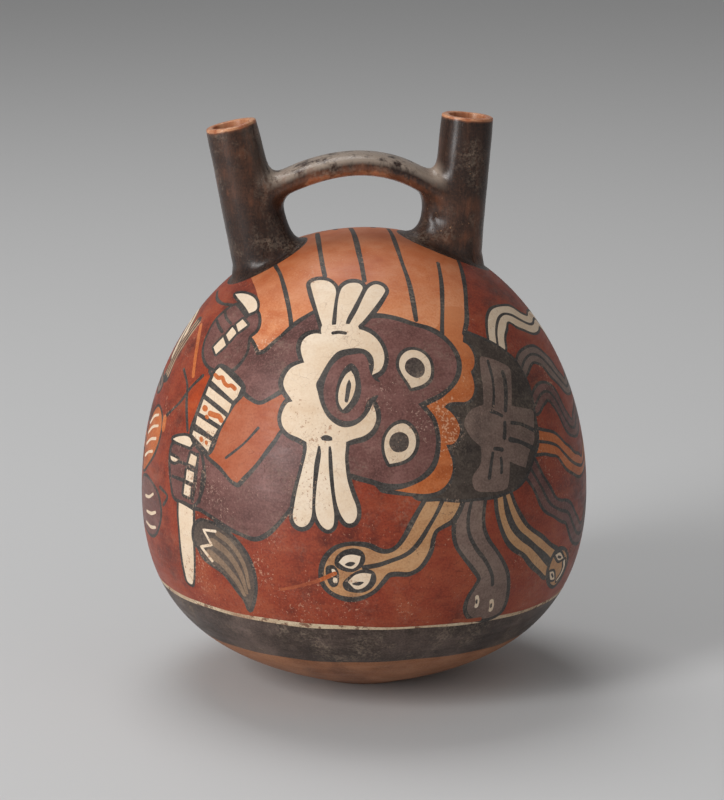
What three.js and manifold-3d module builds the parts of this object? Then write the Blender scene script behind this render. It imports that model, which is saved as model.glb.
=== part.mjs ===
// Double spout and bridge vessel: a closed bottle of fired clay with two hollow spouts that are
// joined by an arched strap handle. Millimetres, +Z up, origin at the centre of the foot.
// The spouts stand along X, and the front is the side towards -Y.

import * as THREE from 'three';
import * as BufferGeometryUtils from 'three/addons/utils/BufferGeometryUtils.js';
import Module from 'manifold-3d';

const wasm = await Module();
wasm.setup();

// Body: a bowl on a small worn foot, a belly wall and a closed dome
const bellyRadius = 70;
const bellyHeight = 58.8; // height of the widest ring above the foot
const bellyUpright = 45.8; // how far the wall's near-upright pull reaches below the widest ring
const footRadius = 18;
const footPull = 19; // how far the wall's pull reaches out from the foot's edge
const footRise = 22; // degrees, slope of the wall where it leaves the foot
const domeRise = 82.3; // from the widest ring to the crown
const domeFullness = 2.06; // 2 is a half ellipse, more is squarer at the shoulder
const wallThickness = 5;
const floorThickness = 6;
const bowlSeamHeight = 31.9; // outer edge of the joint between bowl and belly wall
const shoulderSeamHeight = 96; // outer edge of the joint between belly wall and dome
const seamBevel = 3; // how much higher a joint's inner edge lies than its outer edge

// Spouts: rolled tubes that lean away from each other and pass through the dome's wall
const spoutSizes = {
  left: {
    side: -1,
    offset: 31.7, // from the body's axis to where the spout's axis leaves the dome
    lean: 12.3, // degrees from upright
    length: 43.2, // along the axis, from the dome's surface to the rim
    baseRadius: 9.4,
    rimRadius: 7.9,
    boreRadius: 4.9,
  },
  right: {
    side: 1,
    offset: 28.2,
    lean: 5.2,
    length: 42.1,
    baseRadius: 8.7,
    rimRadius: 8.1,
    boreRadius: 5,
  },
};
const spoutTaper = 1.6; // the tube narrows faster towards its rim
const spoutStub = 1.5; // how far a spout stands proud inside the chamber
const lipRounding = 0.9;

// Fillets of clay between spout and dome: wider on the side towards the bridge, where they
// rise to the collar at the bridge's end
const spoutLutingSizes = {
  left: { outerRise: 2.5, outerReach: 2, innerReach: 5 },
  right: { outerRise: 2.5, outerReach: 2, innerReach: 9 },
};

// Bridge: an arched strap whose centre line runs from spout axis to spout axis
const fingerGap = 17.3; // under the strap's highest place, above the dome's crown
const bridgeCrownOffset = 0.5; // from the body's axis towards the right spout
const bridgeSpring = { left: 18.1, right: 12.2 }; // along each spout's axis, from the dome
const strapWidth = 15;
const strapThickness = 7.2;
const strapSquareness = 2.5; // 2 is an ellipse, more is squarer

// Collars of clay between strap and spout: how far they reach along the strap, and how far they
// spread over the spout above, below and beside it. The web is the thick lower edge that carries
// on down into the fillet at the spout's base.
const bridgeLutingSizes = {
  left: { reach: 4, above: 3.2, below: 3, beside: 3, webThickness: 1 },
  right: { reach: 4, above: 3.2, below: 3.5, beside: 3, webThickness: 2.8 },
};

const clearance = 0.3; // between pieces that are fitted to each other
const featherEdge = 0.5; // thickness of a fillet at its thin edges

// Smoothness
const bodySegments = 64;
const spoutSegments = 32;
const strapSegments = 28;

const colours = {
  ochre: 0x8a6038,
  red: 0x7c2f22,
  orange: 0xb5582c,
  darkSlip: 0x3a2a24,
  wornSlip: 0x55392c,
};

// Evenly spaced numbers from first to last
function spread(first, last, steps) {
  return Array.from({ length: steps + 1 }, (_, i) => first + ((last - first) * i) / steps);
}

// Where a steadily rising or falling function passes a level
function whereReaches(level, low, high, f) {
  const rising = f(high) > f(low);
  let [a, b] = [low, high];
  for (let i = 0; i < 60; i += 1) {
    const middle = (a + b) / 2;
    if ((f(middle) < level) === rising) {
      a = middle;
    } else {
      b = middle;
    }
  }
  return (a + b) / 2;
}

// Profile revolved about Z, with the first angle at the front
function revolve(profile, segments) {
  return new THREE.LatheGeometry(profile, segments).rotateX(Math.PI / 2);
}

// Surface through a grid of points, grid[around][along], closed around.
// Along, it either closes on itself or ends in two flat caps.
function skin(grid, closedAlong) {
  const around = grid.length;
  const along = grid[0].length;
  const index = [];
  const at = (i, j) => (i % around) * along + (j % along);
  const strips = closedAlong ? along : along - 1;
  for (let i = 0; i < around; i += 1) {
    for (let j = 0; j < strips; j += 1) {
      index.push(at(i, j), at(i + 1, j), at(i, j + 1));
      index.push(at(i + 1, j + 1), at(i, j + 1), at(i + 1, j));
    }
  }
  for (let i = 1; !closedAlong && i < around - 1; i += 1) {
    index.push(at(0, 0), at(i + 1, 0), at(i, 0));
    index.push(at(0, along - 1), at(i, along - 1), at(i + 1, along - 1));
  }
  const geometry = new THREE.BufferGeometry().setFromPoints(grid.flat());
  geometry.setIndex(index);
  geometry.computeVertexNormals();
  return geometry;
}

function toSolid(geometry) {
  const bare = geometry.clone();
  bare.deleteAttribute('normal');
  bare.deleteAttribute('uv');
  const merged = BufferGeometryUtils.mergeVertices(bare, 1e-4);
  const corners = merged.index.array;
  const triVerts = [];
  for (let i = 0; i < corners.length; i += 3) {
    const [a, b, c] = corners.slice(i, i + 3);
    if (a !== b && b !== c && c !== a) {
      triVerts.push(a, b, c);
    }
  }
  return new wasm.Manifold(new wasm.Mesh({
    numProp: 3,
    vertProperties: merged.attributes.position.array,
    triVerts: Uint32Array.from(triVerts),
  }));
}

function toGeometry(solid) {
  const mesh = solid.getMesh();
  const geometry = new THREE.BufferGeometry();
  geometry.setAttribute('position', new THREE.BufferAttribute(mesh.vertProperties, 3));
  geometry.setIndex(new THREE.BufferAttribute(mesh.triVerts, 1));
  geometry.computeVertexNormals();
  return geometry;
}

// Body outline. Its place is u: 0 at the foot's edge, 1 at the widest ring, 2 at the crown.

class DomeCurve extends THREE.Curve {
  getPoint(t) {
    const angle = (t * Math.PI) / 2;
    const power = 2 / domeFullness;
    const radius = t < 1 ? bellyRadius * Math.cos(angle) ** power : 0;
    return new THREE.Vector2(radius, bellyHeight + domeRise * Math.sin(angle) ** power);
  }
}

const footAngle = THREE.MathUtils.degToRad(footRise);
const lowerWall = new THREE.CubicBezierCurve(
  new THREE.Vector2(footRadius, 0),
  new THREE.Vector2(footRadius + footPull * Math.cos(footAngle), footPull * Math.sin(footAngle)),
  new THREE.Vector2(bellyRadius, bellyHeight - bellyUpright),
  new THREE.Vector2(bellyRadius, bellyHeight),
);
const upperWall = new DomeCurve();

// Point of the body's wall, at a depth below its outer surface
function wallPoint(u, depth) {
  const curve = u < 1 ? lowerWall : upperWall;
  const t = u < 1 ? u : u - 1;
  const point = curve.getPoint(t);
  const run = curve.getTangent(t);
  const radius = u < 2 ? point.x - depth * run.y : 0;
  return new THREE.Vector2(radius, point.y + depth * run.x);
}

function wallAtHeight(height) {
  return whereReaches(height, 0, 2, (u) => wallPoint(u, 0).y);
}

// Points of the wall between two places, with one on the widest ring where they pass it
function wallPoints(from, to, depth, steps) {
  const places = spread(from, to, steps);
  const nearest = places.reduce((best, u) => (Math.abs(u - 1) < Math.abs(best - 1) ? u : best));
  const passesRing = (from - 1) * (to - 1) < 0;
  return places.map((u) => wallPoint(passesRing && u === nearest ? 1 : u, depth));
}

// A joint in the body's wall: its outer edge, and its inner edge a bevel higher
function seamAt(height) {
  return { outer: wallAtHeight(height), inner: wallAtHeight(height + seamBevel) };
}

const bowlSeam = seamAt(bowlSeamHeight);
const shoulderSeam = seamAt(shoulderSeamHeight);

function domeHeight(radius) {
  const share = Math.min(Math.abs(radius) / bellyRadius, 1) ** domeFullness;
  return bellyHeight + domeRise * (1 - share) ** (1 / domeFullness);
}

function makeBaseBowl() {
  const floorEdge = whereReaches(floorThickness, 0, 1, (u) => wallPoint(u, wallThickness).y);
  const profile = [
    new THREE.Vector2(0, 0),
    ...wallPoints(0, bowlSeam.outer, 0, 8),
    ...wallPoints(bowlSeam.inner, floorEdge, wallThickness, 8),
    new THREE.Vector2(0, wallPoint(floorEdge, wallThickness).y),
  ];
  return revolve(profile, bodySegments);
}

function makeBellyWall() {
  const profile = [
    ...wallPoints(bowlSeam.outer, shoulderSeam.outer, 0, 8),
    ...wallPoints(shoulderSeam.inner, bowlSeam.inner, wallThickness, 7),
    wallPoint(bowlSeam.outer, 0),
  ];
  return revolve(profile, bodySegments);
}

function makeShoulderDome(spouts) {
  const profile = [
    ...wallPoints(2, shoulderSeam.inner, wallThickness, 8),
    ...wallPoints(shoulderSeam.outer, 2, 0, 10),
  ];
  const dome = toSolid(revolve(profile, bodySegments));
  const holes = spouts.map((spout) => toSolid(spout.makeHoleCutter()));
  return toGeometry(holes.reduce((solid, hole) => solid.subtract(hole), dome));
}

// A spout and the fillet at its base. Both are made along Z from the point where the
// spout's axis leaves the dome, and then leaned and set on the dome.
class Spout {
  constructor(sizes, lutingSizes) {
    Object.assign(this, sizes);
    this.luting = lutingSizes;
    const leanAngle = THREE.MathUtils.degToRad(this.lean) * this.side;
    this.seat = new THREE.Vector3(this.side * this.offset, 0, domeHeight(this.offset));
    this.placing = new THREE.Matrix4().makeRotationY(leanAngle).setPosition(this.seat);
    this.direction = new THREE.Vector3(Math.sin(leanAngle), 0, Math.cos(leanAngle));
    const seatRun = upperWall.getTangent(wallAtHeight(this.seat.z) - 1);
    const domeSlope = Math.atan2(seatRun.y, -seatRun.x);
    this.tilt = Math.abs(domeSlope - Math.abs(leanAngle));
    this.slant = this.baseRadius * Math.tan(this.tilt);
    this.sunkDepth = (wallThickness + spoutStub) / Math.cos(this.tilt) + this.slant;
  }

  radiusAt(height) {
    const share = Math.max(height, 0) / this.length;
    return this.baseRadius - (this.baseRadius - this.rimRadius) * share ** spoutTaper;
  }

  placed(geometry) {
    return geometry.applyMatrix4(this.placing);
  }

  makeTube() {
    const lipHeight = this.length - lipRounding;
    const lip = new THREE.Path();
    lip.absarc(this.rimRadius - lipRounding, lipHeight, lipRounding, 0, Math.PI / 2, false);
    lip.absarc(this.boreRadius + lipRounding, lipHeight, lipRounding, Math.PI / 2, Math.PI, false);
    const side = spread(0, lipHeight, 6).map((h) => new THREE.Vector2(this.radiusAt(h), h));
    const profile = [
      new THREE.Vector2(this.baseRadius, -this.sunkDepth),
      ...side.slice(0, -1),
      ...lip.getPoints(3),
      new THREE.Vector2(this.boreRadius, -this.sunkDepth),
      new THREE.Vector2(this.baseRadius, -this.sunkDepth),
    ];
    return this.placed(revolve(profile, spoutSegments));
  }

  // Solid round the spout that the strap is cut with
  makeFittedCutter() {
    const top = this.length + this.baseRadius;
    const side = spread(0, top, 8).map((h) => new THREE.Vector2(this.radiusAt(h) + clearance, h));
    const profile = [new THREE.Vector2(0, 0), ...side, new THREE.Vector2(0, top)];
    return this.placed(revolve(profile, spoutSegments));
  }

  makeHoleCutter() {
    const radius = this.baseRadius + clearance;
    const bottom = -this.sunkDepth - wallThickness;
    const top = this.slant + wallThickness;
    const profile = [
      new THREE.Vector2(0, bottom),
      new THREE.Vector2(radius, bottom),
      new THREE.Vector2(radius, top),
      new THREE.Vector2(0, top),
    ];
    return this.placed(revolve(profile, spoutSegments));
  }

  // Height above the seat at which the dome, with the clearance on it, passes a place
  domeLevel(radius, angle) {
    const level = (h) => {
      const point = new THREE.Vector3(radius * Math.cos(angle), radius * Math.sin(angle), h);
      point.applyMatrix4(this.placing);
      return point.z - domeHeight(Math.hypot(point.x, point.y));
    };
    const reach = radius + wallThickness;
    return whereReaches(0, -reach, reach, level) + clearance / Math.cos(this.tilt);
  }

  // How far an angle faces the bridge, from 0 to 1
  facesBridge(angle) {
    return (1 - this.side * Math.cos(angle)) / 2;
  }

  // Section of the fillet at one angle: down the spout, out over the dome, and back up a curve
  lutingSection(angle, collarFoot, webThickness) {
    const innermost = this.side < 0 ? 0 : Math.PI;
    const foot = this.baseRadius + clearance;
    const innerRise = collarFoot - clearance - this.domeLevel(foot, innermost);
    const toBridge = this.facesBridge(angle);
    const blend = (outer, inner, power) => outer + (inner - outer) * toBridge ** power;
    const rise = blend(this.luting.outerRise, innerRise, 3);
    const reach = blend(this.luting.outerReach, this.luting.innerReach, 2);
    const thickness = blend(featherEdge, webThickness, 6);
    const corner = this.domeLevel(foot, angle);
    const top = corner + rise;
    const topRadius = this.radiusAt(top) + clearance;
    const toe = foot + reach;
    const toeLevel = this.domeLevel(toe, angle);
    const curve = new THREE.QuadraticBezierCurve(
      new THREE.Vector2(toe, toeLevel + featherEdge),
      new THREE.Vector2(topRadius + thickness, corner + featherEdge + (toeLevel - corner) / 2),
      new THREE.Vector2(topRadius + thickness, top),
    );
    const underside = spread(foot, toe, 3).map((r) => [r, this.domeLevel(r, angle)]);
    const section = [
      [topRadius, top],
      ...underside,
      ...curve.getPoints(6).map((p) => [p.x, p.y]),
    ];
    return section.map(([r, h]) => new THREE.Vector3(r * Math.cos(angle), r * Math.sin(angle), h));
  }

  makeLuting(collarFoot, webThickness) {
    const angles = spread(0, 2 * Math.PI, spoutSegments).slice(0, -1);
    const sections = angles.map((angle) => this.lutingSection(angle, collarFoot, webThickness));
    return this.placed(skin(sections, true));
  }

  // Angle and height, about the spout's axis, of a point of the vessel
  about(point) {
    const local = point.clone().applyMatrix4(this.placing.clone().invert());
    return { angle: Math.atan2(local.y, local.x), height: local.z, radius: Math.hypot(local.x, local.y) };
  }

  // Point of the vessel at a distance outside the spout's surface
  outside(angle, height, distance) {
    const r = this.radiusAt(height) + distance;
    return new THREE.Vector3(r * Math.cos(angle), r * Math.sin(angle), height).applyMatrix4(this.placing);
  }

  axisPoint(distance) {
    return this.seat.clone().addScaledVector(this.direction, distance);
  }
}

// The bridge's centre line, from t = 0 on the left spout's axis to t = 1 on the right one's
function makeBridgeLine(left, right) {
  const start = left.axisPoint(bridgeSpring.left);
  const end = right.axisPoint(bridgeSpring.right);
  const crownHeight = domeHeight(0) + fingerGap + strapThickness / 2;
  const pull = new THREE.Vector3(bridgeCrownOffset, 0, crownHeight).multiplyScalar(2);
  pull.addScaledVector(start, -0.5).addScaledVector(end, -0.5);
  return new THREE.QuadraticBezierCurve3(start, pull, end);
}

// Point of the strap's rounded section at an angle from +Y, grown outwards by so much
function strapPoint(line, t, angle, growth) {
  const run = line.getTangent(t);
  const up = new THREE.Vector3(-run.z, 0, run.x);
  const power = 2 / strapSquareness;
  const rounded = (value) => Math.sign(value) * Math.abs(value) ** power;
  const point = line.getPoint(t);
  point.addScaledVector(up, (strapThickness / 2 + growth) * rounded(Math.sin(angle)));
  point.y += (strapWidth / 2 + growth) * rounded(Math.cos(angle));
  return point;
}

const strapAngles = spread(0, 2 * Math.PI, strapSegments).slice(0, -1);

function makeStrap(line, spouts) {
  const places = spread(0, 1, 20);
  const grid = strapAngles.map((angle) => places.map((t) => strapPoint(line, t, angle, 0)));
  const cutters = spouts.map((spout) => toSolid(spout.makeFittedCutter()));
  const blank = toSolid(skin(grid, false));
  return toGeometry(cutters.reduce((solid, cutter) => solid.subtract(cutter), blank));
}

// Where a collar sits at one angle of the strap: its corner between strap and spout, and its
// edges on the strap (at t) and on the spout (at an angle and a height)
function collarSeat(line, spout, sizes, angle) {
  const spoutEnd = spout.side < 0 ? 0 : 1;
  const middle = 0.5;
  const away = (t) => spout.about(line.getPoint(t)).radius;
  const outsideSpout = (t) => {
    const place = spout.about(strapPoint(line, t, angle, clearance));
    return place.radius - spout.radiusAt(place.height) - clearance;
  };
  const cornerT = whereReaches(0, middle, spoutEnd, outsideSpout);
  const corner = spout.about(strapPoint(line, cornerT, angle, clearance));
  const spreadUp = Math.sin(angle) * (Math.sin(angle) > 0 ? sizes.above : sizes.below);
  const spreadAside = (Math.cos(angle) * sizes.beside) / corner.radius;
  return {
    cornerT,
    corner,
    strapEdge: whereReaches(away(cornerT) + sizes.reach, middle, spoutEnd, away),
    spoutAngle: corner.angle - spout.side * spreadAside,
    spoutHeight: corner.height + spreadUp,
  };
}

// Section of a collar at one angle of the strap: along the strap to the corner, out over the
// spout, and back along a hollow curve
function collarSection(line, spout, sizes, angle) {
  const seat = collarSeat(line, spout, sizes, angle);
  const facesDown = Math.max(-Math.sin(angle), 0);
  const edge = featherEdge + (sizes.webThickness - featherEdge) * facesDown ** 6;
  const onStrap = spread(seat.strapEdge, seat.cornerT, 3);
  const angles = spread(seat.corner.angle, seat.spoutAngle, 2).slice(1);
  const heights = spread(seat.corner.height, seat.spoutHeight, 2).slice(1);
  const strapEdge = strapPoint(line, seat.strapEdge, angle, clearance + featherEdge);
  const overStrap = strapPoint(line, seat.cornerT, angle, clearance + edge);
  const spoutEdge = spout.outside(seat.spoutAngle, seat.spoutHeight, clearance + edge);
  const cornerOver = spout.about(overStrap);
  const pull = spout.outside(cornerOver.angle, cornerOver.height, clearance + edge);
  const curve = new THREE.QuadraticBezierCurve3(spoutEdge, pull, strapEdge);
  const section = [
    ...curve.getPoints(6),
    ...onStrap.map((t) => strapPoint(line, t, angle, clearance)),
    ...angles.map((a, i) => spout.outside(a, heights[i], clearance)),
  ];
  return spout.side < 0 ? section : section.reverse();
}

function makeCollar(line, spout, sizes) {
  return skin(strapAngles.map((angle) => collarSection(line, spout, sizes, angle)), true);
}

function makePiece(name, geometry, colour, roughness) {
  const material = new THREE.MeshStandardMaterial({ color: colour, roughness, metalness: 0 });
  const mesh = new THREE.Mesh(geometry, material);
  mesh.name = name;
  return mesh;
}

const leftSpout = new Spout(spoutSizes.left, spoutLutingSizes.left);
const rightSpout = new Spout(spoutSizes.right, spoutLutingSizes.right);
const bridgeLine = makeBridgeLine(leftSpout, rightSpout);

const body = new THREE.Group();
body.add(makePiece('base_bowl', makeBaseBowl(), colours.ochre, 0.55));
body.add(makePiece('belly_wall', makeBellyWall(), colours.red, 0.4));
const dome = makeShoulderDome([leftSpout, rightSpout]);
body.add(makePiece('shoulder_dome', dome, colours.orange, 0.4));

const handle = new THREE.Group();
const strap = makeStrap(bridgeLine, [leftSpout, rightSpout]);
handle.add(makePiece('bridge_strap', strap, colours.darkSlip, 0.4));

const straightDown = -Math.PI / 2;
[['left', leftSpout], ['right', rightSpout]].forEach(([side, spout]) => {
  const sizes = bridgeLutingSizes[side];
  const collar = makeCollar(bridgeLine, spout, sizes);
  const collarFoot = collarSeat(bridgeLine, spout, sizes, straightDown).spoutHeight;
  const luting = spout.makeLuting(collarFoot, sizes.webThickness);
  handle.add(makePiece(`${side}_spout`, spout.makeTube(), colours.darkSlip, 0.4));
  handle.add(makePiece(`${side}_spout_luting`, luting, colours.wornSlip, 0.5));
  handle.add(makePiece(`${side}_bridge_luting`, collar, colours.wornSlip, 0.5));
});

const vessel = new THREE.Group();
vessel.add(body, handle);

export default vessel;
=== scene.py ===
import math

import bpy
import numpy as np
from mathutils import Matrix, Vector
from mathutils.bvhtree import BVHTree
from mathutils.geometry import delaunay_2d_cdt


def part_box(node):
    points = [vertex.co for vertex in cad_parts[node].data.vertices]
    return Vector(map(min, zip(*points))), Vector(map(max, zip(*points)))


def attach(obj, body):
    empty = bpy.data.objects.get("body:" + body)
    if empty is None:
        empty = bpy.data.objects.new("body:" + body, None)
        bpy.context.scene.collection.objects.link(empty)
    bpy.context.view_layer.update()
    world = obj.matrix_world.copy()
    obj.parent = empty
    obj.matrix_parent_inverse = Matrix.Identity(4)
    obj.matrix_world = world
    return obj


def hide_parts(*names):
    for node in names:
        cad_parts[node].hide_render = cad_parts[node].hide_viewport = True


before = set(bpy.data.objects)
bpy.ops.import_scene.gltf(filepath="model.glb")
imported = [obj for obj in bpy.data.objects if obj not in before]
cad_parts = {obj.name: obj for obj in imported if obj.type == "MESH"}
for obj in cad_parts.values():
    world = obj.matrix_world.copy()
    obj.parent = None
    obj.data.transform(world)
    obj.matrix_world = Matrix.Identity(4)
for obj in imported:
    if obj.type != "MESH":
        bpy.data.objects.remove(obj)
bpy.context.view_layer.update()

MM = 0.001
TURN = 2 * math.pi


def node_box(node):
    low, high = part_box(node)
    return low / MM, high / MM


# Body: the sizes that the frame gives, and the curves of the potter's wall
BELLY_RADIUS = node_box("belly_wall")[1].x
BOWL_SEAM = node_box("belly_wall")[0].z
SHOULDER_SEAM = node_box("shoulder_dome")[0].z
CROWN_HEIGHT = node_box("shoulder_dome")[1].z
BELLY_HEIGHT = 58.8
BELLY_UPRIGHT = 45.8
FOOT_RADIUS = 18
FOOT_PULL = 19
FOOT_RISE = math.radians(22)
DOME_FULLNESS = 2.06
WALL = 5

# Spouts, measured along their own axes from where these leave the dome, and leaning by degrees
SPOUTS = {
    "left": dict(side=-1, offset=31.7, lean=12.3, length=43.2, base=9.4, rim=7.9, bore=4.9,
                 outer_rise=2.5, outer_reach=2, inner_reach=5, spring=18.1,
                 collar=dict(reach=4, above=3.2, below=3, beside=3, web=1)),
    "right": dict(side=1, offset=28.2, lean=5.2, length=42.1, base=8.7, rim=8.1, bore=5,
                  outer_rise=2.5, outer_reach=2, inner_reach=9, spring=12.2,
                  collar=dict(reach=4, above=3.2, below=3.5, beside=3, web=2.8)),
}
SPOUT_TAPER = 1.6
SPOUT_STUB = 1.5
RISE_POWER = 3  # how sharply a fillet's rise, reach and web gather towards the bridge
REACH_POWER = 2
WEB_POWER = 6
LIP_ROUNDING = 0.6
MOUTH_FLARE = 0.9
MOUTH_DEPTH = 6

# Bridge
FINGER_GAP = 17.3
BRIDGE_CROWN_OFFSET = 0.5
BRIDGE_MIDDLE = 0.5  # share of the way from the left spout's axis to the right one's
STRAP_WIDTH = 15
STRAP_THICKNESS = 7.2
STRAP_SQUARENESS = 2.5

# Painted bands round the body, and the slip's edges at the spouts
BAND_FOOT = 18.3
LINE_HEIGHT = 31.9
LINE_WIDTH = 1.2
LINE_TILT = -0.022
BAND_WAVER = 0.25
SLIP_APRON = 0.7
HOLE_CLEARANCE = 0.2

# Hand work: how deep pieces are pressed into each other, and how uneven a hand leaves clay
KEYED_IN = 0.5
BODY_HOLLOWS = dict(depth=0.45, apart=67)
SPOUT_HOLLOWS = dict(depth=0.35, apart=31)
LIP_WEAR = dict(depth=0.4, apart=13)
CALM_FOOT = 8  # height over which a spout's unevenness begins
CALM_ROUND_SPOUT = (16, 20)  # how far round a spout the body stays even, and how far hollows set in

# Wet smoothing of the handle, and the skin that it is smoothed to
SPOUT_SMOOTHED = (3, 11)  # heights above the collar from and to which a spout's smoothing fades
STRAP_SMOOTHED = (3.5, 10)  # the same for the strap, by the distance from the spouts
FILLET_TOE_SMOOTHED = (0, 0.5, 0.85)  # how far a fillet's first points, from its toe on, are moved
SKIN_GRAIN = 0.75
SKIN_PASSES = 42
SMOOTHED_DOME = 46
UNDERLAP = 0.05  # how far under the skin a spout or the strap lies there

# Rubbing by hands, with the distances over which it fades
RIM_RUBBED = (0.5, 2)  # down the outside from the rim
MOUTH_RUBBED = (4, 12)  # down the bore from the rim
STRAP_RUBBED = (12, 2)  # along the strap towards a spout
STRAP_UNDERSIDE = (-0.55, 0.45)  # by the sine of the direction round the strap's section
STRAP_RUBBING = 0.62
STRAP_RUBBING_BEHIND = 0.8

# Fineness of the meshes and the map
HALVINGS = 50
WALL_POINTS = 1500
SPOUT_AROUND = 96
SPOUT_ALONG = 44
LIP_POINTS = 6
MOUTH_POINTS = 7
BORE_POINTS = 14
STRAP_AROUND = 56
STRAP_ALONG = 72
FILLET_POINTS = 13
DOME_FORM = (40, 120)
SLIP_EDGE_STEP = 0.9
SKIN_STEP = 2.6
LINING_STEP = 6
ROW_SPACING = 0.87
FEWEST_IN_RING = 6
CROWN_GAP = 2
SEAM_POINTS = 260
FOOT_POINTS = 120
MARK_POINTS = 120
SLOPE_STEP = 0.004  # share of the distance from the crown over which a slope is measured
SKIN_MARGIN = 0.985  # share of the foot's ring up to which the skin is filled
LINING_MARGINS = (1.05, 0.95)
SKIN_NEARNESS = 1e-5  # map places nearer than this become one
LINING_NEARNESS = 1e-6
AT_EDGE = 0.999  # from this share of the greatest distance on, a place is on the outermost ring

# Layout of a body piece in the square that is baked: discs, and a strip for the seams
MAP_MIDDLE = np.array([0.5, 0.5])
MAP_CORNER = np.array([0.09, 0.91])
SKIN_DISC = 0.47
BELLY_LINING_DISC = 0.45
CORNER_DISC = 0.07
SEAM_STRIP = (0.02, 0.96)  # start and length
SEAM_ROWS = (0.004, 0.012)  # outer edge and inner edge


def where_reaches(level, low, high, f):
    """Where a steadily rising or falling function passes a level."""
    rising = f(high) > f(low)
    for _ in range(HALVINGS):
        middle = (low + high) / 2
        if (f(middle) < level) == rising:
            low = middle
        else:
            high = middle
    return (low + high) / 2


def bezier(points, t):
    """Bezier curve through any number of control points, at one place or many."""
    t = np.asarray(t, float)[..., None]
    points = [np.asarray(p, float) for p in points]
    while len(points) > 1:
        points = [a + (b - a) * t for a, b in zip(points, points[1:])]
    return points[0]


def fading(value, full, none):
    """1 on one side, 0 on the other, and a smooth fall between."""
    share = np.clip((none - value) / (none - full), 0, 1)
    return share * share * (3 - 2 * share)


def uneven(points, wavelength, phase):
    """Slow hand-made unevenness from 0 to 1, by place, so that it runs on from piece to piece."""
    ways = np.array([(1, 0.3, 0.2), (-0.4, 1, 0.3), (0.2, -0.5, 1), (0.7, 0.7, -0.5)])
    waves = np.sin(points @ ways.T * (TURN / wavelength) + phase + np.arange(len(ways)) * 1.7)
    return 0.5 + waves.mean(-1) / 2


def on_circle(radius, angle):
    """Map places at distances and angles about the crown."""
    return np.stack([radius * np.cos(angle), radius * np.sin(angle)], -1)


def at_angle(radius, angle, height):
    """Points in one direction from an axis, so far out and so high."""
    return np.stack([radius * math.cos(angle), radius * math.sin(angle), height], -1)


# Body outline, from the crown down to the edge of the foot

def dome_height(radius):
    share = np.minimum(np.abs(radius) / BELLY_RADIUS, 1) ** DOME_FULLNESS
    return BELLY_HEIGHT + (CROWN_HEIGHT - BELLY_HEIGHT) * (1 - share) ** (1 / DOME_FULLNESS)


def dome_points(t):
    angle = np.asarray(t) * math.pi / 2
    power = 2 / DOME_FULLNESS
    radius = BELLY_RADIUS * np.clip(np.cos(angle), 0, 1) ** power
    height = BELLY_HEIGHT + (CROWN_HEIGHT - BELLY_HEIGHT) * np.sin(angle) ** power
    return np.stack([radius, height], -1)


def lower_wall_points(t):
    pull = (FOOT_RADIUS + FOOT_PULL * math.cos(FOOT_RISE), FOOT_PULL * math.sin(FOOT_RISE))
    return bezier([(FOOT_RADIUS, 0), pull, (BELLY_RADIUS, BELLY_HEIGHT - BELLY_UPRIGHT),
                   (BELLY_RADIUS, BELLY_HEIGHT)], t)


class Wall:
    """The body's wall as one line from crown to foot, and a flat map of its surface. The map is
    polar about the crown and keeps angles, so that a fine mesh on the map is fine on the clay."""

    def __init__(self):
        down = np.linspace(1, 0, WALL_POINTS)
        line = np.vstack([dome_points(down)[1:], lower_wall_points(down)[1:]])
        run = np.gradient(line, axis=0)
        run /= np.linalg.norm(run, axis=1)[:, None]
        self.radius, self.height = line.T
        self.normal = np.stack([-run[:, 1], run[:, 0]], 1)
        step = np.linalg.norm(np.diff(line, axis=0), axis=1)
        stretch = np.log(step[0]) + np.concatenate([
            [0], np.cumsum(step * 2 / (self.radius[1:] + self.radius[:-1]))])
        self.map_radius = np.exp(stretch - stretch[self.radius.argmax()]) * BELLY_RADIUS
        self.drop = np.arctan2(self.radius, self.height - BELLY_RADIUS)

    def on_map(self, height):
        """Distance from the crown on the map, for a height on the outer surface."""
        return float(np.interp(-height, -self.height, self.map_radius))

    def at_height(self, height):
        """Radius of the outer surface at a height."""
        return float(np.interp(-height, -self.height, self.radius))

    def from_directions(self, way):
        """Map place of the wall seen from the body's middle along each direction."""
        drop = np.arctan2(np.hypot(way[..., 0], way[..., 1]), way[..., 2])
        return on_circle(np.interp(drop, self.drop, self.map_radius), np.arctan2(way[..., 1], way[..., 0]))

    def from_points(self, points):
        return self.from_directions(points - np.array([0, 0, BELLY_RADIUS]))

    def surface(self, places, depth=0):
        """Points and outward directions of the wall at map places, at a depth below it."""
        distance = np.hypot(places[..., 0], places[..., 1])
        angle = np.arctan2(places[..., 1], places[..., 0])
        radius, height, out, up = (
            np.interp(distance, self.map_radius, values)
            for values in (self.radius, self.height, self.normal[:, 0], self.normal[:, 1]))
        radius = radius - depth * out
        height = height - depth * up
        around = on_circle(1, angle)
        points = np.concatenate([around * radius[..., None], height[..., None]], -1)
        normals = np.concatenate([around * out[..., None], up[..., None]], -1)
        return points, normals


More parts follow.
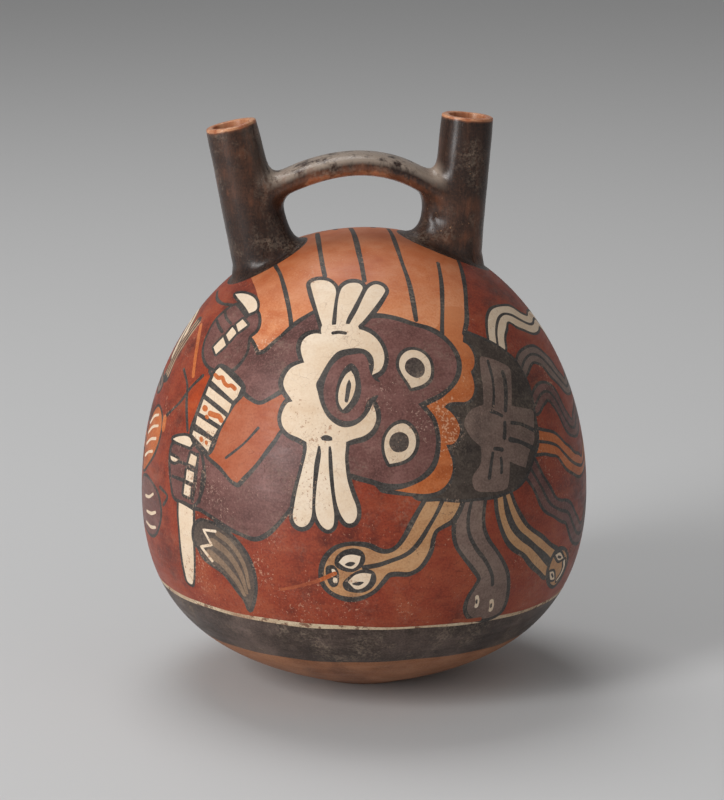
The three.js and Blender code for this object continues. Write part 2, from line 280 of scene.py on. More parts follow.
class Spout:
    """A spout, with the fillet at its base. Its own frame stands on the dome, along its axis."""

    def __init__(self, sizes):
        vars(self).update(sizes)
        self.angle = math.radians(self.lean) * self.side
        self.seat = np.array([self.side * self.offset, 0, dome_height(self.offset)])
        self.strap_end = 0 if self.side < 0 else 1
        slope_step = 0.01
        fall = dome_height(self.offset) - dome_height(self.offset + slope_step)
        self.tilt = abs(math.atan2(fall, slope_step) - abs(self.angle))
        self.sunk = (WALL + SPOUT_STUB) / math.cos(self.tilt) + self.base * math.tan(self.tilt)

    def radius_at(self, height):
        share = np.maximum(height, 0) / self.length
        return self.base - (self.base - self.rim) * share ** SPOUT_TAPER

    def placed(self, points):
        points = np.asarray(points, float)
        sine, cosine = math.sin(self.angle), math.cos(self.angle)
        x = points[..., 0] * cosine + points[..., 2] * sine
        z = points[..., 2] * cosine - points[..., 0] * sine
        return np.stack([x, points[..., 1], z], -1) + self.seat

    def about(self, point):
        """Angle, height and radius of a point, about the spout's axis."""
        x, y, z = np.asarray(point, float) - self.seat
        sine, cosine = math.sin(self.angle), math.cos(self.angle)
        along, across = x * sine + z * cosine, x * cosine - z * sine
        return math.atan2(y, across), along, math.hypot(across, y)

    def clearance(self, point):
        """How far outside the spout's wall a point is."""
        _, height, radius = self.about(point)
        return radius - self.radius_at(height)

    def outside(self, angle, height, distance):
        return self.placed(at_angle(self.radius_at(height) + distance, angle, height))

    def axis_point(self, distance):
        return self.placed([0, 0, distance])

    def to_bridge(self, angle):
        """1 on the side of the bridge, 0 on the far side."""
        return (1 - self.side * math.cos(angle)) / 2

    def dome_level(self, radius, angle):
        """Height above the seat at which the dome passes a place."""
        def level(height):
            x, y, z = self.placed(at_angle(radius, angle, height))
            return z - dome_height(math.hypot(x, y))
        reach = radius + WALL
        return where_reaches(0, -reach, reach, level)


wall = Wall()
spouts = [Spout(sizes) for sizes in SPOUTS.values()]


def bridge_line():
    """Control points of the bridge's centre line, from spout axis to spout axis."""
    start, end = (spout.axis_point(spout.spring) for spout in spouts)
    crown = np.array([BRIDGE_CROWN_OFFSET, 0, CROWN_HEIGHT + FINGER_GAP + STRAP_THICKNESS / 2])
    return [start, 2 * crown - (start + end) / 2, end]


bridge = bridge_line()


def strap_point(t, angle, growth=0):
    """Point of the strap's rounded section at an angle from +Y, grown outwards by so much."""
    start, pull, end = bridge
    run = (pull - start) * (1 - t) + (end - pull) * t
    run /= np.linalg.norm(run)
    power = 2 / STRAP_SQUARENESS
    rise, side = (math.copysign(abs(v) ** power, v) for v in (math.sin(angle), math.cos(angle)))
    point = bezier(bridge, t) + np.array([-run[2], 0, run[0]]) * (STRAP_THICKNESS / 2 + growth) * rise
    point[1] += (STRAP_WIDTH / 2 + growth) * side
    return point


# Meshes

def link(piece):
    bpy.context.scene.collection.objects.link(piece)
    return piece


def grid_faces(around, along, closed_along):
    """Quads of a grid of points, closed around, and along it closed too or ended in two caps."""
    faces = []
    for i in range(around):
        beside = (i + 1) % around
        for j in range(along if closed_along else along - 1):
            above = (j + 1) % along
            faces.append((i * along + j, beside * along + j, beside * along + above, i * along + above))
    if not closed_along:
        faces.append([i * along for i in reversed(range(around))])
        faces.append([i * along + along - 1 for i in range(around)])
    return faces


def add_grid(name, section_at, around, closed_along, slip=None):
    """A piece made of the sections that a function gives at each angle, and its points."""
    points = np.vstack([section_at(angle) for angle in np.arange(around) * TURN / around])
    along = len(points) // around
    mesh = bpy.data.meshes.new(name)
    mesh.from_pydata([tuple(p) for p in points * MM], [], grid_faces(around, along, closed_along))
    if slip:
        mesh.materials.append(slip)
    mesh.validate()
    mesh.shade_smooth()
    return link(bpy.data.objects.new(name, mesh)), points


def finish_piece(piece, node):
    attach(piece, "root")
    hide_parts(node)


# Handle: each piece comes with what the smoothing needs to know of its points

def make_spout(spout, name, collar_top, slip):
    """Rolled tube with a rounded, slightly worn lip and a straight bore."""
    bend = np.linspace(0, math.pi / 2, LIP_POINTS)
    lip_height = spout.length - LIP_ROUNDING
    side = np.linspace(0, lip_height, SPOUT_ALONG)[:-1]
    outer = np.stack([spout.radius_at(side), side], 1)
    lip_out = np.stack([spout.rim - LIP_ROUNDING * (1 - np.cos(bend)),
                        lip_height + LIP_ROUNDING * np.sin(bend)], 1)
    mouth = spout.bore + MOUTH_FLARE
    lip_in = np.stack([mouth + LIP_ROUNDING * (1 - np.cos(bend[::-1])),
                       lip_height + LIP_ROUNDING * np.sin(bend[::-1])], 1)
    down = np.concatenate([lip_height - np.linspace(0, MOUTH_DEPTH, MOUTH_POINTS)[1:],
                           np.linspace(lip_height - MOUTH_DEPTH, -spout.sunk, BORE_POINTS)[1:]])
    inner = np.stack([spout.bore + MOUTH_FLARE * fading(lip_height - down, 0, MOUTH_DEPTH), down], 1)
    start = [(spout.base, -spout.sunk), (spout.base, -spout.sunk / 2)]
    profile = np.vstack([start, outer, lip_out, lip_in, inner])
    radius, height = profile.T

    def section(angle):
        place = at_angle(radius, angle, height)
        above_dome = np.clip(height / CALM_FOOT, 0, 1)
        hollow = uneven(place, SPOUT_HOLLOWS["apart"], spout.side)
        worked = radius - SPOUT_HOLLOWS["depth"] * above_dome * hollow
        at_lip = np.clip((height - lip_height) / LIP_ROUNDING, 0, 1)
        chipped = height - at_lip * LIP_WEAR["depth"] * uneven(place, LIP_WEAR["apart"], 2 * spout.side)
        return spout.placed(at_angle(worked, angle, chipped))

    tube, points = add_grid(name, section, SPOUT_AROUND, True, slip)
    outside = radius > (spout.rim + spout.bore) / 2
    full, none = (collar_top + above for above in SPOUT_SMOOTHED)
    pull = np.where(outside, fading(height, full, none), 0)
    from_rim = spout.length - height
    worn = np.where(outside, fading(from_rim, *RIM_RUBBED), fading(from_rim, *MOUTH_RUBBED))
    return dict(piece=tube, pull=np.tile(pull, SPOUT_AROUND), worn=np.tile(worn, SPOUT_AROUND),
                hidden=np.zeros(len(points), bool), luted=False)


def smoothed_on(name, section, around, slip, first_pulls=()):
    """A luting: of each of its sections, the first points show and the last are pressed in."""
    piece, points = add_grid(name, section, around, True, slip)
    hidden = np.arange(len(points) // around) >= FILLET_POINTS
    pull = np.where(hidden, 0.0, 1.0)
    pull[:len(first_pulls)] = first_pulls
    return dict(piece=piece, pull=np.tile(pull, around), hidden=np.tile(hidden, around),
                worn=np.zeros(len(points)), luted=True)


def make_spout_fillet(spout, name, collar_foot, slip):
    """Clay smoothed on between spout and dome, higher and wider on the side of the bridge."""
    inner_rise = collar_foot - spout.dome_level(spout.base, math.pi * spout.strap_end)

    def section(angle):
        to_bridge = spout.to_bridge(angle)
        rise = spout.outer_rise + (inner_rise - spout.outer_rise) * to_bridge ** RISE_POWER
        reach = spout.outer_reach + (spout.inner_reach - spout.outer_reach) * to_bridge ** REACH_POWER
        web = spout.collar["web"] * to_bridge ** WEB_POWER
        corner = spout.dome_level(spout.base, angle)
        top = corner + rise
        top_radius = spout.radius_at(top)
        toe = spout.base + reach
        toe_level = spout.dome_level(toe, angle)
        pull = (top_radius + web, corner + (toe_level - corner) / 2)
        curve = bezier([(toe, toe_level), pull, (top_radius + web, top)], np.linspace(0, 1, FILLET_POINTS))
        hidden = [(top_radius - KEYED_IN, top), (spout.base - KEYED_IN, corner - KEYED_IN),
                  ((spout.base + toe) / 2, (corner + toe_level) / 2 - KEYED_IN),
                  (toe, toe_level - KEYED_IN)]
        radius, height = np.vstack([curve, hidden]).T
        return spout.placed(at_angle(radius, angle, height))

    return smoothed_on(name, section, SPOUT_AROUND, slip, FILLET_TOE_SMOOTHED)


def collar_seat(spout, angle):
    """Where a collar sits at one angle of the strap: the corner between strap and spout, and the
    collar's edges on the strap and on the spout."""
    def outside_spout(t):
        return spout.clearance(strap_point(t, angle))

    def away(t):
        return spout.about(bezier(bridge, t))[2]

    corner_t = where_reaches(0, BRIDGE_MIDDLE, spout.strap_end, outside_spout)
    corner_angle, corner_height, corner_radius = spout.about(strap_point(corner_t, angle))
    strap_edge_away = away(corner_t) + spout.collar["reach"]
    spread = spout.collar["above"] if math.sin(angle) > 0 else spout.collar["below"]
    aside = math.cos(angle) * spout.collar["beside"] / corner_radius
    return dict(
        corner_t=corner_t, corner_angle=corner_angle, corner_height=corner_height,
        strap_edge=where_reaches(strap_edge_away, BRIDGE_MIDDLE, spout.strap_end, away),
        spout_angle=corner_angle - spout.side * aside,
        spout_height=corner_height + math.sin(angle) * spread)


def make_collar(spout, name, slip):
    """Clay smoothed on where the strap meets the spout."""
    def section(turned):
        angle = -spout.side * turned
        seat = collar_seat(spout, angle)
        web = spout.collar["web"] * max(-math.sin(angle), 0) ** WEB_POWER
        on_spout = seat["spout_angle"], seat["spout_height"]
        over_angle, over_height, _ = spout.about(strap_point(seat["corner_t"], angle, web))
        curve = bezier([spout.outside(*on_spout, web), spout.outside(over_angle, over_height, web),
                        strap_point(seat["strap_edge"], angle)], np.linspace(0, 1, FILLET_POINTS))
        hidden = [strap_point(seat["strap_edge"], angle, -KEYED_IN),
                  strap_point(seat["corner_t"], angle, -KEYED_IN),
                  spout.outside(seat["corner_angle"], seat["corner_height"], -KEYED_IN),
                  spout.outside(*on_spout, -KEYED_IN)]
        return np.vstack([curve, hidden])

    return smoothed_on(name, section, STRAP_AROUND, slip)


def make_strap(name, slip):
    """Arched strap, its ends keyed into the walls of the two spouts."""
    def end_in_wall(spout, angle):
        return where_reaches(-2 * KEYED_IN, BRIDGE_MIDDLE, spout.strap_end,
                             lambda t: spout.clearance(strap_point(t, angle)))

    def section(angle):
        first, last = (end_in_wall(spout, angle) for spout in spouts)
        stations = first + (last - first) * np.linspace(0, 1, STRAP_ALONG)
        return np.array([strap_point(t, angle) for t in stations])

    strap, points = add_grid(name, section, STRAP_AROUND, False, slip)
    away = np.array([min(spout.clearance(point) for spout in spouts) for point in points])
    angles = np.repeat(np.arange(STRAP_AROUND) * TURN / STRAP_AROUND, STRAP_ALONG)
    under = fading(np.sin(angles), *STRAP_UNDERSIDE)
    under *= np.where(np.cos(angles) < 0, 1, STRAP_RUBBING_BEHIND)
    return dict(piece=strap, pull=fading(away, *STRAP_SMOOTHED),
                worn=STRAP_RUBBING * under * fading(away, *STRAP_RUBBED),
                hidden=np.zeros(len(points), bool), luted=False)


# Wet smoothing: one skin over all the joined clay

def crown_section(angle):
    """Section of the top of the dome, as a wall that the handle's clay is joined to."""
    ring = np.linspace(1, SMOOTHED_DOME, DOME_FORM[0])
    outer = np.stack([ring, dome_height(ring)], 1)
    radius, height = np.vstack([outer, (outer - (0, WALL))[::-1]]).T
    return at_angle(radius, angle, height)


def make_smooth_skin(handle):
    """One smoothed surface over the handle and the top of the dome. It is only measured, and
    taken away again."""
    crown, _ = add_grid("crown_form", crown_section, DOME_FORM[1], True)
    points, faces = [], []
    for form in [crown] + [part["piece"] for part in handle]:
        start = len(points)
        points += [tuple(vertex.co) for vertex in form.data.vertices]
        faces += [tuple(start + i for i in face.vertices) for face in form.data.polygons]
    bpy.data.objects.remove(crown)
    mesh = bpy.data.meshes.new("joined_clay")
    mesh.from_pydata(points, [], faces)
    joined = link(bpy.data.objects.new("joined_clay", mesh))
    remesh = joined.modifiers.new("voxels", "REMESH")
    remesh.mode = "VOXEL"
    remesh.voxel_size = SKIN_GRAIN * MM
    smooth = joined.modifiers.new("wet finger", "SMOOTH")
    smooth.factor = 0.5
    smooth.iterations = SKIN_PASSES
    shaped = joined.evaluated_get(bpy.context.evaluated_depsgraph_get()).to_mesh()
    points, normals = np.empty(len(shaped.vertices) * 3), np.empty(len(shaped.vertices) * 3)
    shaped.vertices.foreach_get("co", points)
    shaped.vertices.foreach_get("normal", normals)
    faces = [tuple(face.vertices) for face in shaped.polygons]
    points, normals = points.reshape(-1, 3), normals.reshape(-1, 3)
    bpy.data.objects.remove(joined)
    return dict(points=points, normals=normals, faces=faces,
                tree=BVHTree.FromPolygons([tuple(point) for point in points], faces))


def skin_near(skin, spot):
    """The skin's nearest place to a spot, which way it faces there, and its smooth direction."""
    place, facing, number, _ = skin["tree"].find_nearest(spot)
    corners = list(skin["faces"][number])
    weights = 1 / (np.linalg.norm(skin["points"][corners] - np.array(place), axis=1) + UNDERLAP * MM)
    smooth = weights @ skin["normals"][corners]
    return place, facing, smooth / np.linalg.norm(smooth)


def lay_on_skin(part, skin):
    """Bring a piece's showing points onto the smooth skin, and take its shading from there. Its
    pull says how far each point goes, and the hidden ones are pressed into other clay."""
    mesh = part["piece"].data
    own = np.array([tuple(vertex.normal) for vertex in mesh.vertices])
    shading = own.copy()
    for vertex, pull, hidden in zip(mesh.vertices, part["pull"], part["hidden"]):
        if hidden or pull == 0:
            continue
        place, facing, smooth = skin_near(skin, vertex.co)
        if not part["luted"] and (place - vertex.co).dot(facing) > UNDERLAP * MM:
            place = place - facing * UNDERLAP * MM
        vertex.co = vertex.co.lerp(place, float(pull))
        blend = smooth * pull + own[vertex.index] * (1 - pull)
        shading[vertex.index] = blend / np.linalg.norm(blend)
    corner_normals = np.empty((len(mesh.loops), 3))
    for face in mesh.polygons:
        covered = all(part["hidden"][i] or part["pull"][i] > 0 for i in face.vertices)
        tucked = covered and any(part["hidden"][i] for i in face.vertices)
        for corner, vertex in zip(face.loop_indices, face.vertices):
            corner_normals[corner] = face.normal if tucked else shading[vertex]
    mesh.normals_split_custom_set(corner_normals)
    rubbed = mesh.attributes.new("rubbed", "FLOAT", "POINT")
    rubbed.data.foreach_set("value", np.asarray(part["worn"], float))


def make_handle(slip):
    """Spouts, fillets, collars and strap, smoothed into one another."""
    handle = []
    for side, spout in zip(SPOUTS, spouts):
        collar_foot, collar_top = (collar_seat(spout, angle)["spout_height"]
                                   for angle in (-math.pi / 2, math.pi / 2))
        tube = make_spout(spout, f"{side}_spout_clay", collar_top, slip)
        finish_piece(tube["piece"], f"{side}_spout")
        fillet = make_spout_fillet(spout, f"{side}_spout_fillet", collar_foot, slip)
        finish_piece(fillet["piece"], f"{side}_spout_luting")
        collar = make_collar(spout, f"{side}_bridge_collar", slip)
        finish_piece(collar["piece"], f"{side}_bridge_luting")
        handle += [tube, fillet, collar]
    strap = make_strap("bridge_strap_clay", slip)
    finish_piece(strap["piece"], "bridge_strap")
    handle.append(strap)
    skin = make_smooth_skin(handle)
    for part in handle:
        lay_on_skin(part, skin)


# Drawing: millimetres right and up from the front, as measured along a ball as wide as the body
SHARP = True  # marks a point that is a corner, and all others are smooth
LINE_STEP = 0.6
INK = 1.35  # usual width of the dark outlines
ROUND_END_POINTS = 7
NEARLY_STRAIGHT = 0.9  # cosine of the turn up to which a widened corner stays one point
TUFT_SPACING = 2.1

# Mask over the mouth, with the fan of fingers above it and the tresses below it
FAN_FINGERS = [
    [(-19, 54), (-19.8, 58.3), (-20.7, 61.5), (-22.3, 67.5), (-23.6, 72.7), (-24, 75.7), (-22.2, 76.7),
     (-19.5, 76.7), (-17, 75.7), (-15.2, 73.5), (-14.7, 71.3), (-15.3, 67.5), (-16, 63), (-16.5, 59),
     (-16.4, 54)],
    [(-16, 54), (-15, 59), (-14.3, 66), (-13.4, 70.5), (-12.3, 72.9), (-10.2, 74.4), (-8, 74.7),
     (-6.1, 74.2), (-5, 72.6), (-6.2, 69.7), (-8.9, 64.7), (-11.6, 59.4), (-12, 54)],
    [(-13, 54), (-10.1, 59.2), (-7.6, 63.4), (-5, 68.6), (-3.1, 71.9), (-1.4, 73.3), (0.2, 73.7),
     (2.2, 72.7), (3, 71), (2.3, 69.6), (-1.2, 64.9), (-5.7, 59.6), (-7.6, 57.6), (-7.6, 54)],
]
FAN_WRIST = [(-19.9, 58.4), (-16.4, 58.5), (-13.6, 58.7), (-11, 58.6), (-7.9, 58), (-7.4, 54), (-19.4, 54)]
FAN_DASH = [(-16.2, 55.6), (-14, 55.8), (-12, 55.4)]
MASK = [
    (-19.6, 55.4), (-22, 55.7), (-24.4, 55.2), (-26.5, 53.5), (-27.3, 51), (-26.9, 48.4),
    (-26, 45.8, SHARP), (-28.2, 45.2), (-30.6, 44), (-32.4, 41.6), (-33.1, 39), (-32.4, 36.8), (-31, 34.8),
    (-29.8, 33.1, SHARP), (-31.4, 32.6), (-33, 30), (-33.5, 27.4), (-32.8, 24.9), (-30.8, 22.9),
    (-27.6, 21.6), (-24.8, 20.2, SHARP), (-19, 19), (-13.1, 20.3, SHARP), (-10.3, 21.4), (-7.2, 22.3),
    (-4.6, 24.2), (-3.2, 27.2), (-3.3, 29.8), (-4.1, 32, SHARP), (-5.2, 29.9), (-7.4, 27.2), (-10.3, 25.4),
    (-13.4, 25), (-16.2, 26.2), (-18.6, 28.5), (-20.4, 32), (-21.4, 35.6), (-22, 38.6), (-20.9, 40.8),
    (-19.2, 43.8), (-17, 47), (-14.6, 49.2), (-11.4, 50), (-7.6, 50.1), (-4.9, 49.1), (-3.3, 47),
    (-3.1, 44.2), (-3.9, 41.2, SHARP), (-1.2, 42.6), (0.2, 45.2), (0.4, 48.4), (-0.8, 51.8), (-3, 54.5),
    (-6.2, 56.3), (-10, 57), (-15, 56.6),
]
MASK_HOLLOW = [
    (-19.4, 40.6), (-17.6, 44.6), (-14.4, 48.4), (-10, 49.6), (-5.6, 48.8), (-3.2, 46), (-3.4, 42),
    (-1, 38), (-3.4, 32.4), (-5.6, 29.4), (-9, 26), (-13.4, 25.4), (-17.6, 27.8), (-20, 32), (-21.4, 37),
]
MOUTH_FACE = [
    (-18.2, 41.8), (-16.2, 45), (-13.4, 47.2), (-9.6, 48.1), (-6.4, 48.1), (-4.9, 45.6), (-4.6, 42.6),
    (-3, 39.6), (0, 38), (0, 35), (-3.6, 34.6), (-5.9, 32.6), (-7, 29.8), (-9.6, 27.4), (-13.4, 27),
    (-16.8, 28.8), (-18.9, 32), (-19.6, 36.6),
]
MOUTH_RING = [
    (-10.4, 45.2), (-8.4, 43.2), (-7.7, 40), (-7.5, 36.4), (-8.4, 33.4), (-10, 31.2), (-12.2, 29.3),
    (-14, 29.6), (-15.4, 31.6), (-15.8, 34.4), (-15.4, 37.6), (-14.3, 41), (-12.6, 43.7),
]
MOUTH_LIPS = [
    (-10.6, 42.7, SHARP), (-9.7, 41), (-9.3, 38.4), (-9.8, 35.8), (-11.2, 32.9), (-13.5, 30.4, SHARP),
    (-14.6, 32.2), (-14.9, 34.6), (-14.4, 37.4), (-13.4, 39.8), (-12, 41.8),
]
MOUTH_SLIT = [
    (-11.3, 40, SHARP), (-10.7, 38.6), (-11.1, 35.8), (-12.1, 32.6), (-12.8, 32.8), (-12.6, 35.4),
    (-12.1, 38.4),
]
CHIN_MARK = [(-20.5, 21.8), (-19, 22.6), (-16.9, 21.8), (-16.9, 21), (-20, 21)]
TRESSES = [
    [(-24.8, 22), (-24.9, 18), (-26.2, 12), (-27.6, 6), (-28.5, 0.5), (-28.8, -3), (-27.8, -5.2),
     (-26, -5.9), (-24.2, -5), (-23.1, -2.6), (-22.9, 2), (-22.8, 8), (-22.4, 14), (-21.6, 18),
     (-21.2, 22)],
    [(-20.8, 22), (-20.4, 17), (-21, 12), (-21.7, 6), (-21.9, 0), (-21.2, -3), (-19.6, -5.4), (-17.9, -6.2),
     (-16.6, -5.2), (-16.2, -2), (-16.8, 2.4), (-17.5, 7.5), (-18, 13), (-18.1, 18), (-18, 22)],
    [(-17.4, 22), (-17, 17), (-16.6, 11), (-16, 5), (-15.2, 1), (-13.7, -2.4), (-12.2, -4), (-10.6, -3.8),
     (-9.5, -2), (-9.6, 0.8), (-11, 4.6), (-12.3, 9), (-13, 15), (-13.1, 22)],
]
TRESS_CROWN = [(-24.6, 22.4), (-24.8, 19.6), (-21.4, 18.8), (-17.6, 18.4), (-13.1, 19.4), (-13.4, 22.4)]

# Head, and the collar of scallops behind it
HEAD = [
    (-8, 59), (-4, 60.2), (0, 60.4), (4, 59.8), (10, 57.8), (16.4, 55.6), (21.2, 52.4), (24, 48.8),
    (25, 45), (24.2, 41), (21.8, 37.6), (17.8, 34.8), (14, 33.3), (10.4, 31.7, SHARP), (12.4, 29.2),
    (14.4, 26.6), (15.4, 22), (15.1, 17.4), (13.4, 13), (10, 9.8), (5.4, 7.9), (0, 7.8), (-5, 9.2),
    (-10.2, 10.7), (-14, 12), (-18, 24), (-24, 32), (-24, 44), (-22, 52), (-16, 57),
]
EYES = [
    ([(10.4, 49.1), (13.2, 48.1), (15.2, 45.8), (15.7, 42.8), (14.9, 39.8), (12.6, 37.9),
      (8.6, 36.7, SHARP), (7.6, 38.6), (6, 41.2), (5.1, 44), (5.9, 46.8), (7.9, 48.6)],
     [(10.2, 46.6), (12.4, 45.6), (13.6, 43.4), (13, 41), (11, 39.9), (8.7, 40.7), (7, 42.8), (7.6, 45.3)]),
    ([(5.9, 25.7), (8, 23.7), (9, 21), (8.5, 18), (6.8, 15.7), (4.4, 14.4), (0.6, 13.7, SHARP),
      (-0.4, 15.8), (-0.9, 18.4), (-0.5, 21.6), (1.2, 24.2), (3.4, 25.6)],
     [(4, 23.3), (6.3, 22.2), (6.8, 20), (6, 18), (3.9, 17.1), (1.8, 17.6), (0.6, 19.8), (1.5, 22.3)]),
]
COLLAR = [
    (22.6, 64), (20.5, 58), (10, 50), (0, 30), (-6, 12), (-1.6, 6.3, SHARP), (2, 5.7), (7, 4.7), (12, 4.2),
    (16, 5), (18.9, 7.4), (20.3, 10.4), (20.4, 13.6), (19.5, 16.4), (18.7, 18.7, SHARP), (21, 18.8),
    (22.9, 20.6), (23.7, 23.2), (22.9, 26), (21.1, 28.6), (18.9, 30.4, SHARP), (20.6, 31.6), (23.4, 31.8),
    (26.6, 31.7), (28.9, 32.9), (30.3, 35.6), (30.4, 38.6), (29.8, 41.4, SHARP), (31.3, 43), (32, 45.6),
    (31.7, 48.2), (30.2, 50.7), (28.6, 51.6, SHARP), (29.6, 55), (31.6, 60), (32.2, 64),
]

# Trunk, with the cross-shaped patch on it
BODY = [
    (24, 56), (29, 55.4), (33, 54), (37, 52.6), (42, 50.4), (46.8, 47.6), (50, 44.6), (52.6, 40.4),
    (54.4, 36), (55, 30), (54.8, 24), (55, 19), (54.2, 14.6), (52, 11.6), (49.6, 8), (46.4, 4.6),
    (42.6, 2.4), (36, 1.4), (29, 1.3), (22.6, 1.6), (16, 2.6), (8, 4), (12, 20), (18, 40),
]
BODY_CROSS = [
    (34.6, 46.3), (37.9, 46), (42.6, 44.4), (46.5, 42.2), (46, 36), (44.6, 29.2, SHARP), (49.6, 28.2),
    (54.6, 26.5), (54.2, 23), (53.7, 20.3), (53.2, 16.8), (50.4, 13.4), (47.8, 8.3, SHARP), (44.6, 9.6),
    (41.3, 11.3, SHARP), (40.8, 7), (39.5, 3), (36.4, 2.4), (33.1, 2.6), (27.8, 3.9), (27, 7.8), (30.2, 12),
    (30.8, 17, SHARP), (27.2, 20.6), (25.4, 25.1), (28.2, 28.9), (33.2, 30.5, SHARP), (33.7, 36.6),
    (33.8, 42),
]
BODY_LINES = [
    (1.1, [(37.4, 44.8), (38.1, 38.8), (37.8, 34), (36.9, 29.7)]),
    (1.7, [(43, 40.8), (43.3, 38), (42.8, 33), (41.7, 28)]),
    (1.2, [(35.7, 28.1), (37.8, 27.4), (39.9, 26.3)]), (1.3, [(40.8, 24), (40.5, 21.6), (40, 19.1)]),
    (1.3, [(43.7, 23.7), (47.5, 22.9), (54.3, 19.8)]), (1.7, [(42.4, 18.3), (46.5, 17), (53, 13.7)]),
    (1.3, [(35.8, 16), (37.2, 15.8), (38.6, 15.4)]), (1.3, [(34.9, 14.7), (33.9, 10.9), (33, 7.1)]),
    (1.1, [(37.9, 12.7), (38, 10.4), (37.7, 8.1)]),
]

# Streamers: slip, widths at start and end, and the middle line that each one follows
STREAMER_INK = (2.4, 2.6)  # how much wider the ink below one is, at its start and its end
STREAMER_LINE = (1.1, 1.5)  # widths of the ink line along its middle
STREAMERS = [
    ("cream", 7.4, 8.4, [(43.2, 50.2), (44, 55), (45.8, 59), (48.4, 62), (51.8, 63.6), (56, 63.6),
     (60.8, 62.2), (65, 61.2), (69, 61), (72.8, 62.2), (76.4, 64.6), (81, 66), (87, 63.8), (93, 59.4),
     (97, 56)]),
    ("grey", 5.6, 7, [(52.5, 41.8), (55.7, 45.2), (59.8, 47.2), (63.9, 47.4), (67.6, 46.2), (71, 43.8),
     (74.9, 40.5), (79.5, 37), (85.5, 33.8), (91.5, 34.8), (97.5, 38.3), (104, 39.3)]),
    ("purple", 5.6, 7, [(56.2, 28.5), (60.4, 32), (64.2, 33.1), (67.7, 32), (70.4, 29.2), (72.7, 25.4),
     (75.5, 21.1), (79, 17.8), (84, 16.9), (89.5, 20.2), (95.5, 22.9), (104, 22.3)]),
    ("orange", 7.2, 6.6, [(54, 16.2), (60.3, 14.9), (65.9, 12.7), (70.5, 8.8), (75.3, 5), (81, 2.1),
     (86.6, 0.6), (93, 2.6), (99, 7), (106, 10), (114, 9)]),
    ("purple", 5.6, 7.4, [(48.9, 9.5), (50.7, 6.7), (54.5, 0.5), (58.4, -6), (63.5, -9.7), (69.2, -12.8),
     (72.8, -18.5), (77, -24), (83, -26), (90, -21), (97, -17), (104, -16), (114, -18)]),
]

# Serpents below the head, whose nearest one has eyes of a socket, a white and a pupil
NEAR_SERPENT = [
    (22.9, 1.6, SHARP), (21.4, -1.4), (19.2, -4.2), (16.4, -5.6), (14, -7), (12.8, -9.6), (12.2, -12.4),
    (10.7, -15.3), (8.7, -17.7), (6, -18.9), (2.4, -18.6), (-0.2, -19), (-2.2, -21.4), (-4.3, -24),
    (-7, -25.6), (-10, -26.3), (-13.6, -26), (-16.6, -24.6), (-18.4, -22.4), (-18.9, -19.6), (-18.5, -16.8),
    (-17.3, -14.3), (-15, -12), (-12, -10.9), (-9, -10.9), (-6, -11.5), (-3.2, -12.8), (-1, -13.2),
    (1.4, -12.6), (3.7, -10.8), (5.6, -8.3), (7.6, -4.8), (9.8, -1), (11.9, 2.2, SHARP),
]
NEAR_SERPENT_BACK = [
    (16.7, 1.8), (14.7, -1.9), (12.2, -5.7), (9.4, -9.8), (7, -12.4), (4.4, -14), (0.7, -15.3),
    (-3.1, -16.5), (-7.2, -17.2),
]
NEAR_SERPENT_EYES = [
    ([(-10, -11.5), (-7.7, -12.4), (-6.8, -14.6), (-7.7, -16.9), (-10.2, -18.6), (-13.2, -18.4),
      (-15.6, -16.9), (-15.6, -14.6), (-13.4, -12.3)],
     [(-14.6, -15.9, SHARP), (-13.2, -14.1), (-10.8, -13.4), (-8.2, -13.9, SHARP), (-8.8, -16.2),
      (-10.3, -17.6), (-12.7, -17.2)],
     [(-12.8, -16.5), (-11.4, -15.6), (-9.7, -15.9), (-11, -17)]),
    ([(-8.9, -18.2), (-6, -17.7), (-4.1, -18.7), (-3.5, -21), (-4.6, -23.3), (-7, -24.8), (-9.8, -25),
      (-12.5, -24.2), (-13.3, -22.3), (-12, -20.4)],
     [(-11.8, -21.7, SHARP), (-9.8, -19.6), (-7.4, -18.9), (-5, -19.2, SHARP), (-5.7, -21.8), (-7.4, -23.5),
      (-9.4, -23.9)],
     [(-10.6, -22.3), (-9, -21.6), (-7.1, -21.7), (-8.6, -22.8)]),
]
NEAR_SERPENT_JAW = [
    (-18.2, -17.4), (-16.2, -16.8), (-14.8, -18.2), (-14.3, -20.6), (-14.8, -23), (-16.2, -23.6),
    (-17.6, -22),
]
NEAR_SERPENT_TEETH = [
    [(-16.6, -18), (-15.6, -18.2), (-15.4, -19.3), (-16.4, -19)],
    [(-16, -20.6), (-14.9, -20.8), (-14.9, -22.2), (-16, -22)],
]
NEAR_SERPENT_TONGUE = [(-15.6, -19.3), (-20.4, -21.9), (-25.2, -23.9), (-31.6, -26.2)]
GREY_SERPENT = [
    (23, 1.8, SHARP), (21.6, -3), (20.7, -8), (21.2, -12), (23.4, -15.8), (26.6, -20), (28.8, -24),
    (27.4, -26.6), (25.4, -29.6), (24.6, -33), (25.8, -36.2), (29, -38.3), (33, -39), (36.6, -38),
    (38, -34.6), (38.4, -29.6), (38, -25), (36.4, -20.8), (34, -16.6), (31.3, -12.8), (29.7, -8.6),
    (29.7, -4), (30.8, 1.8, SHARP),
]
GREY_SERPENT_BACK = [(26.6, 1.6), (25, -4), (25, -9), (27.2, -14), (30.6, -19), (32.8, -24), (33, -27)]
GREY_SERPENT_EYES = [(27.7, -31.6), (33, -34.4)]
GREY_SERPENT_TONGUE = [(29.4, -38.6), (25, -38), (20.6, -36.8)]
FAR_SERPENT = [
    [(36.6, 1), (37, -4.4), (38.4, -9.4), (40.3, -13), (43.2, -16.2), (46.6, -19), (49.7, -22.6),
     (52.9, -26.3), (56, -29.8)],
    [(39.6, 1), (40.9, -3.4), (42.6, -7.5), (44.8, -11), (47.9, -14), (51, -16.8), (53.6, -19.2),
     (56.5, -22), (59.4, -24.8)],
]
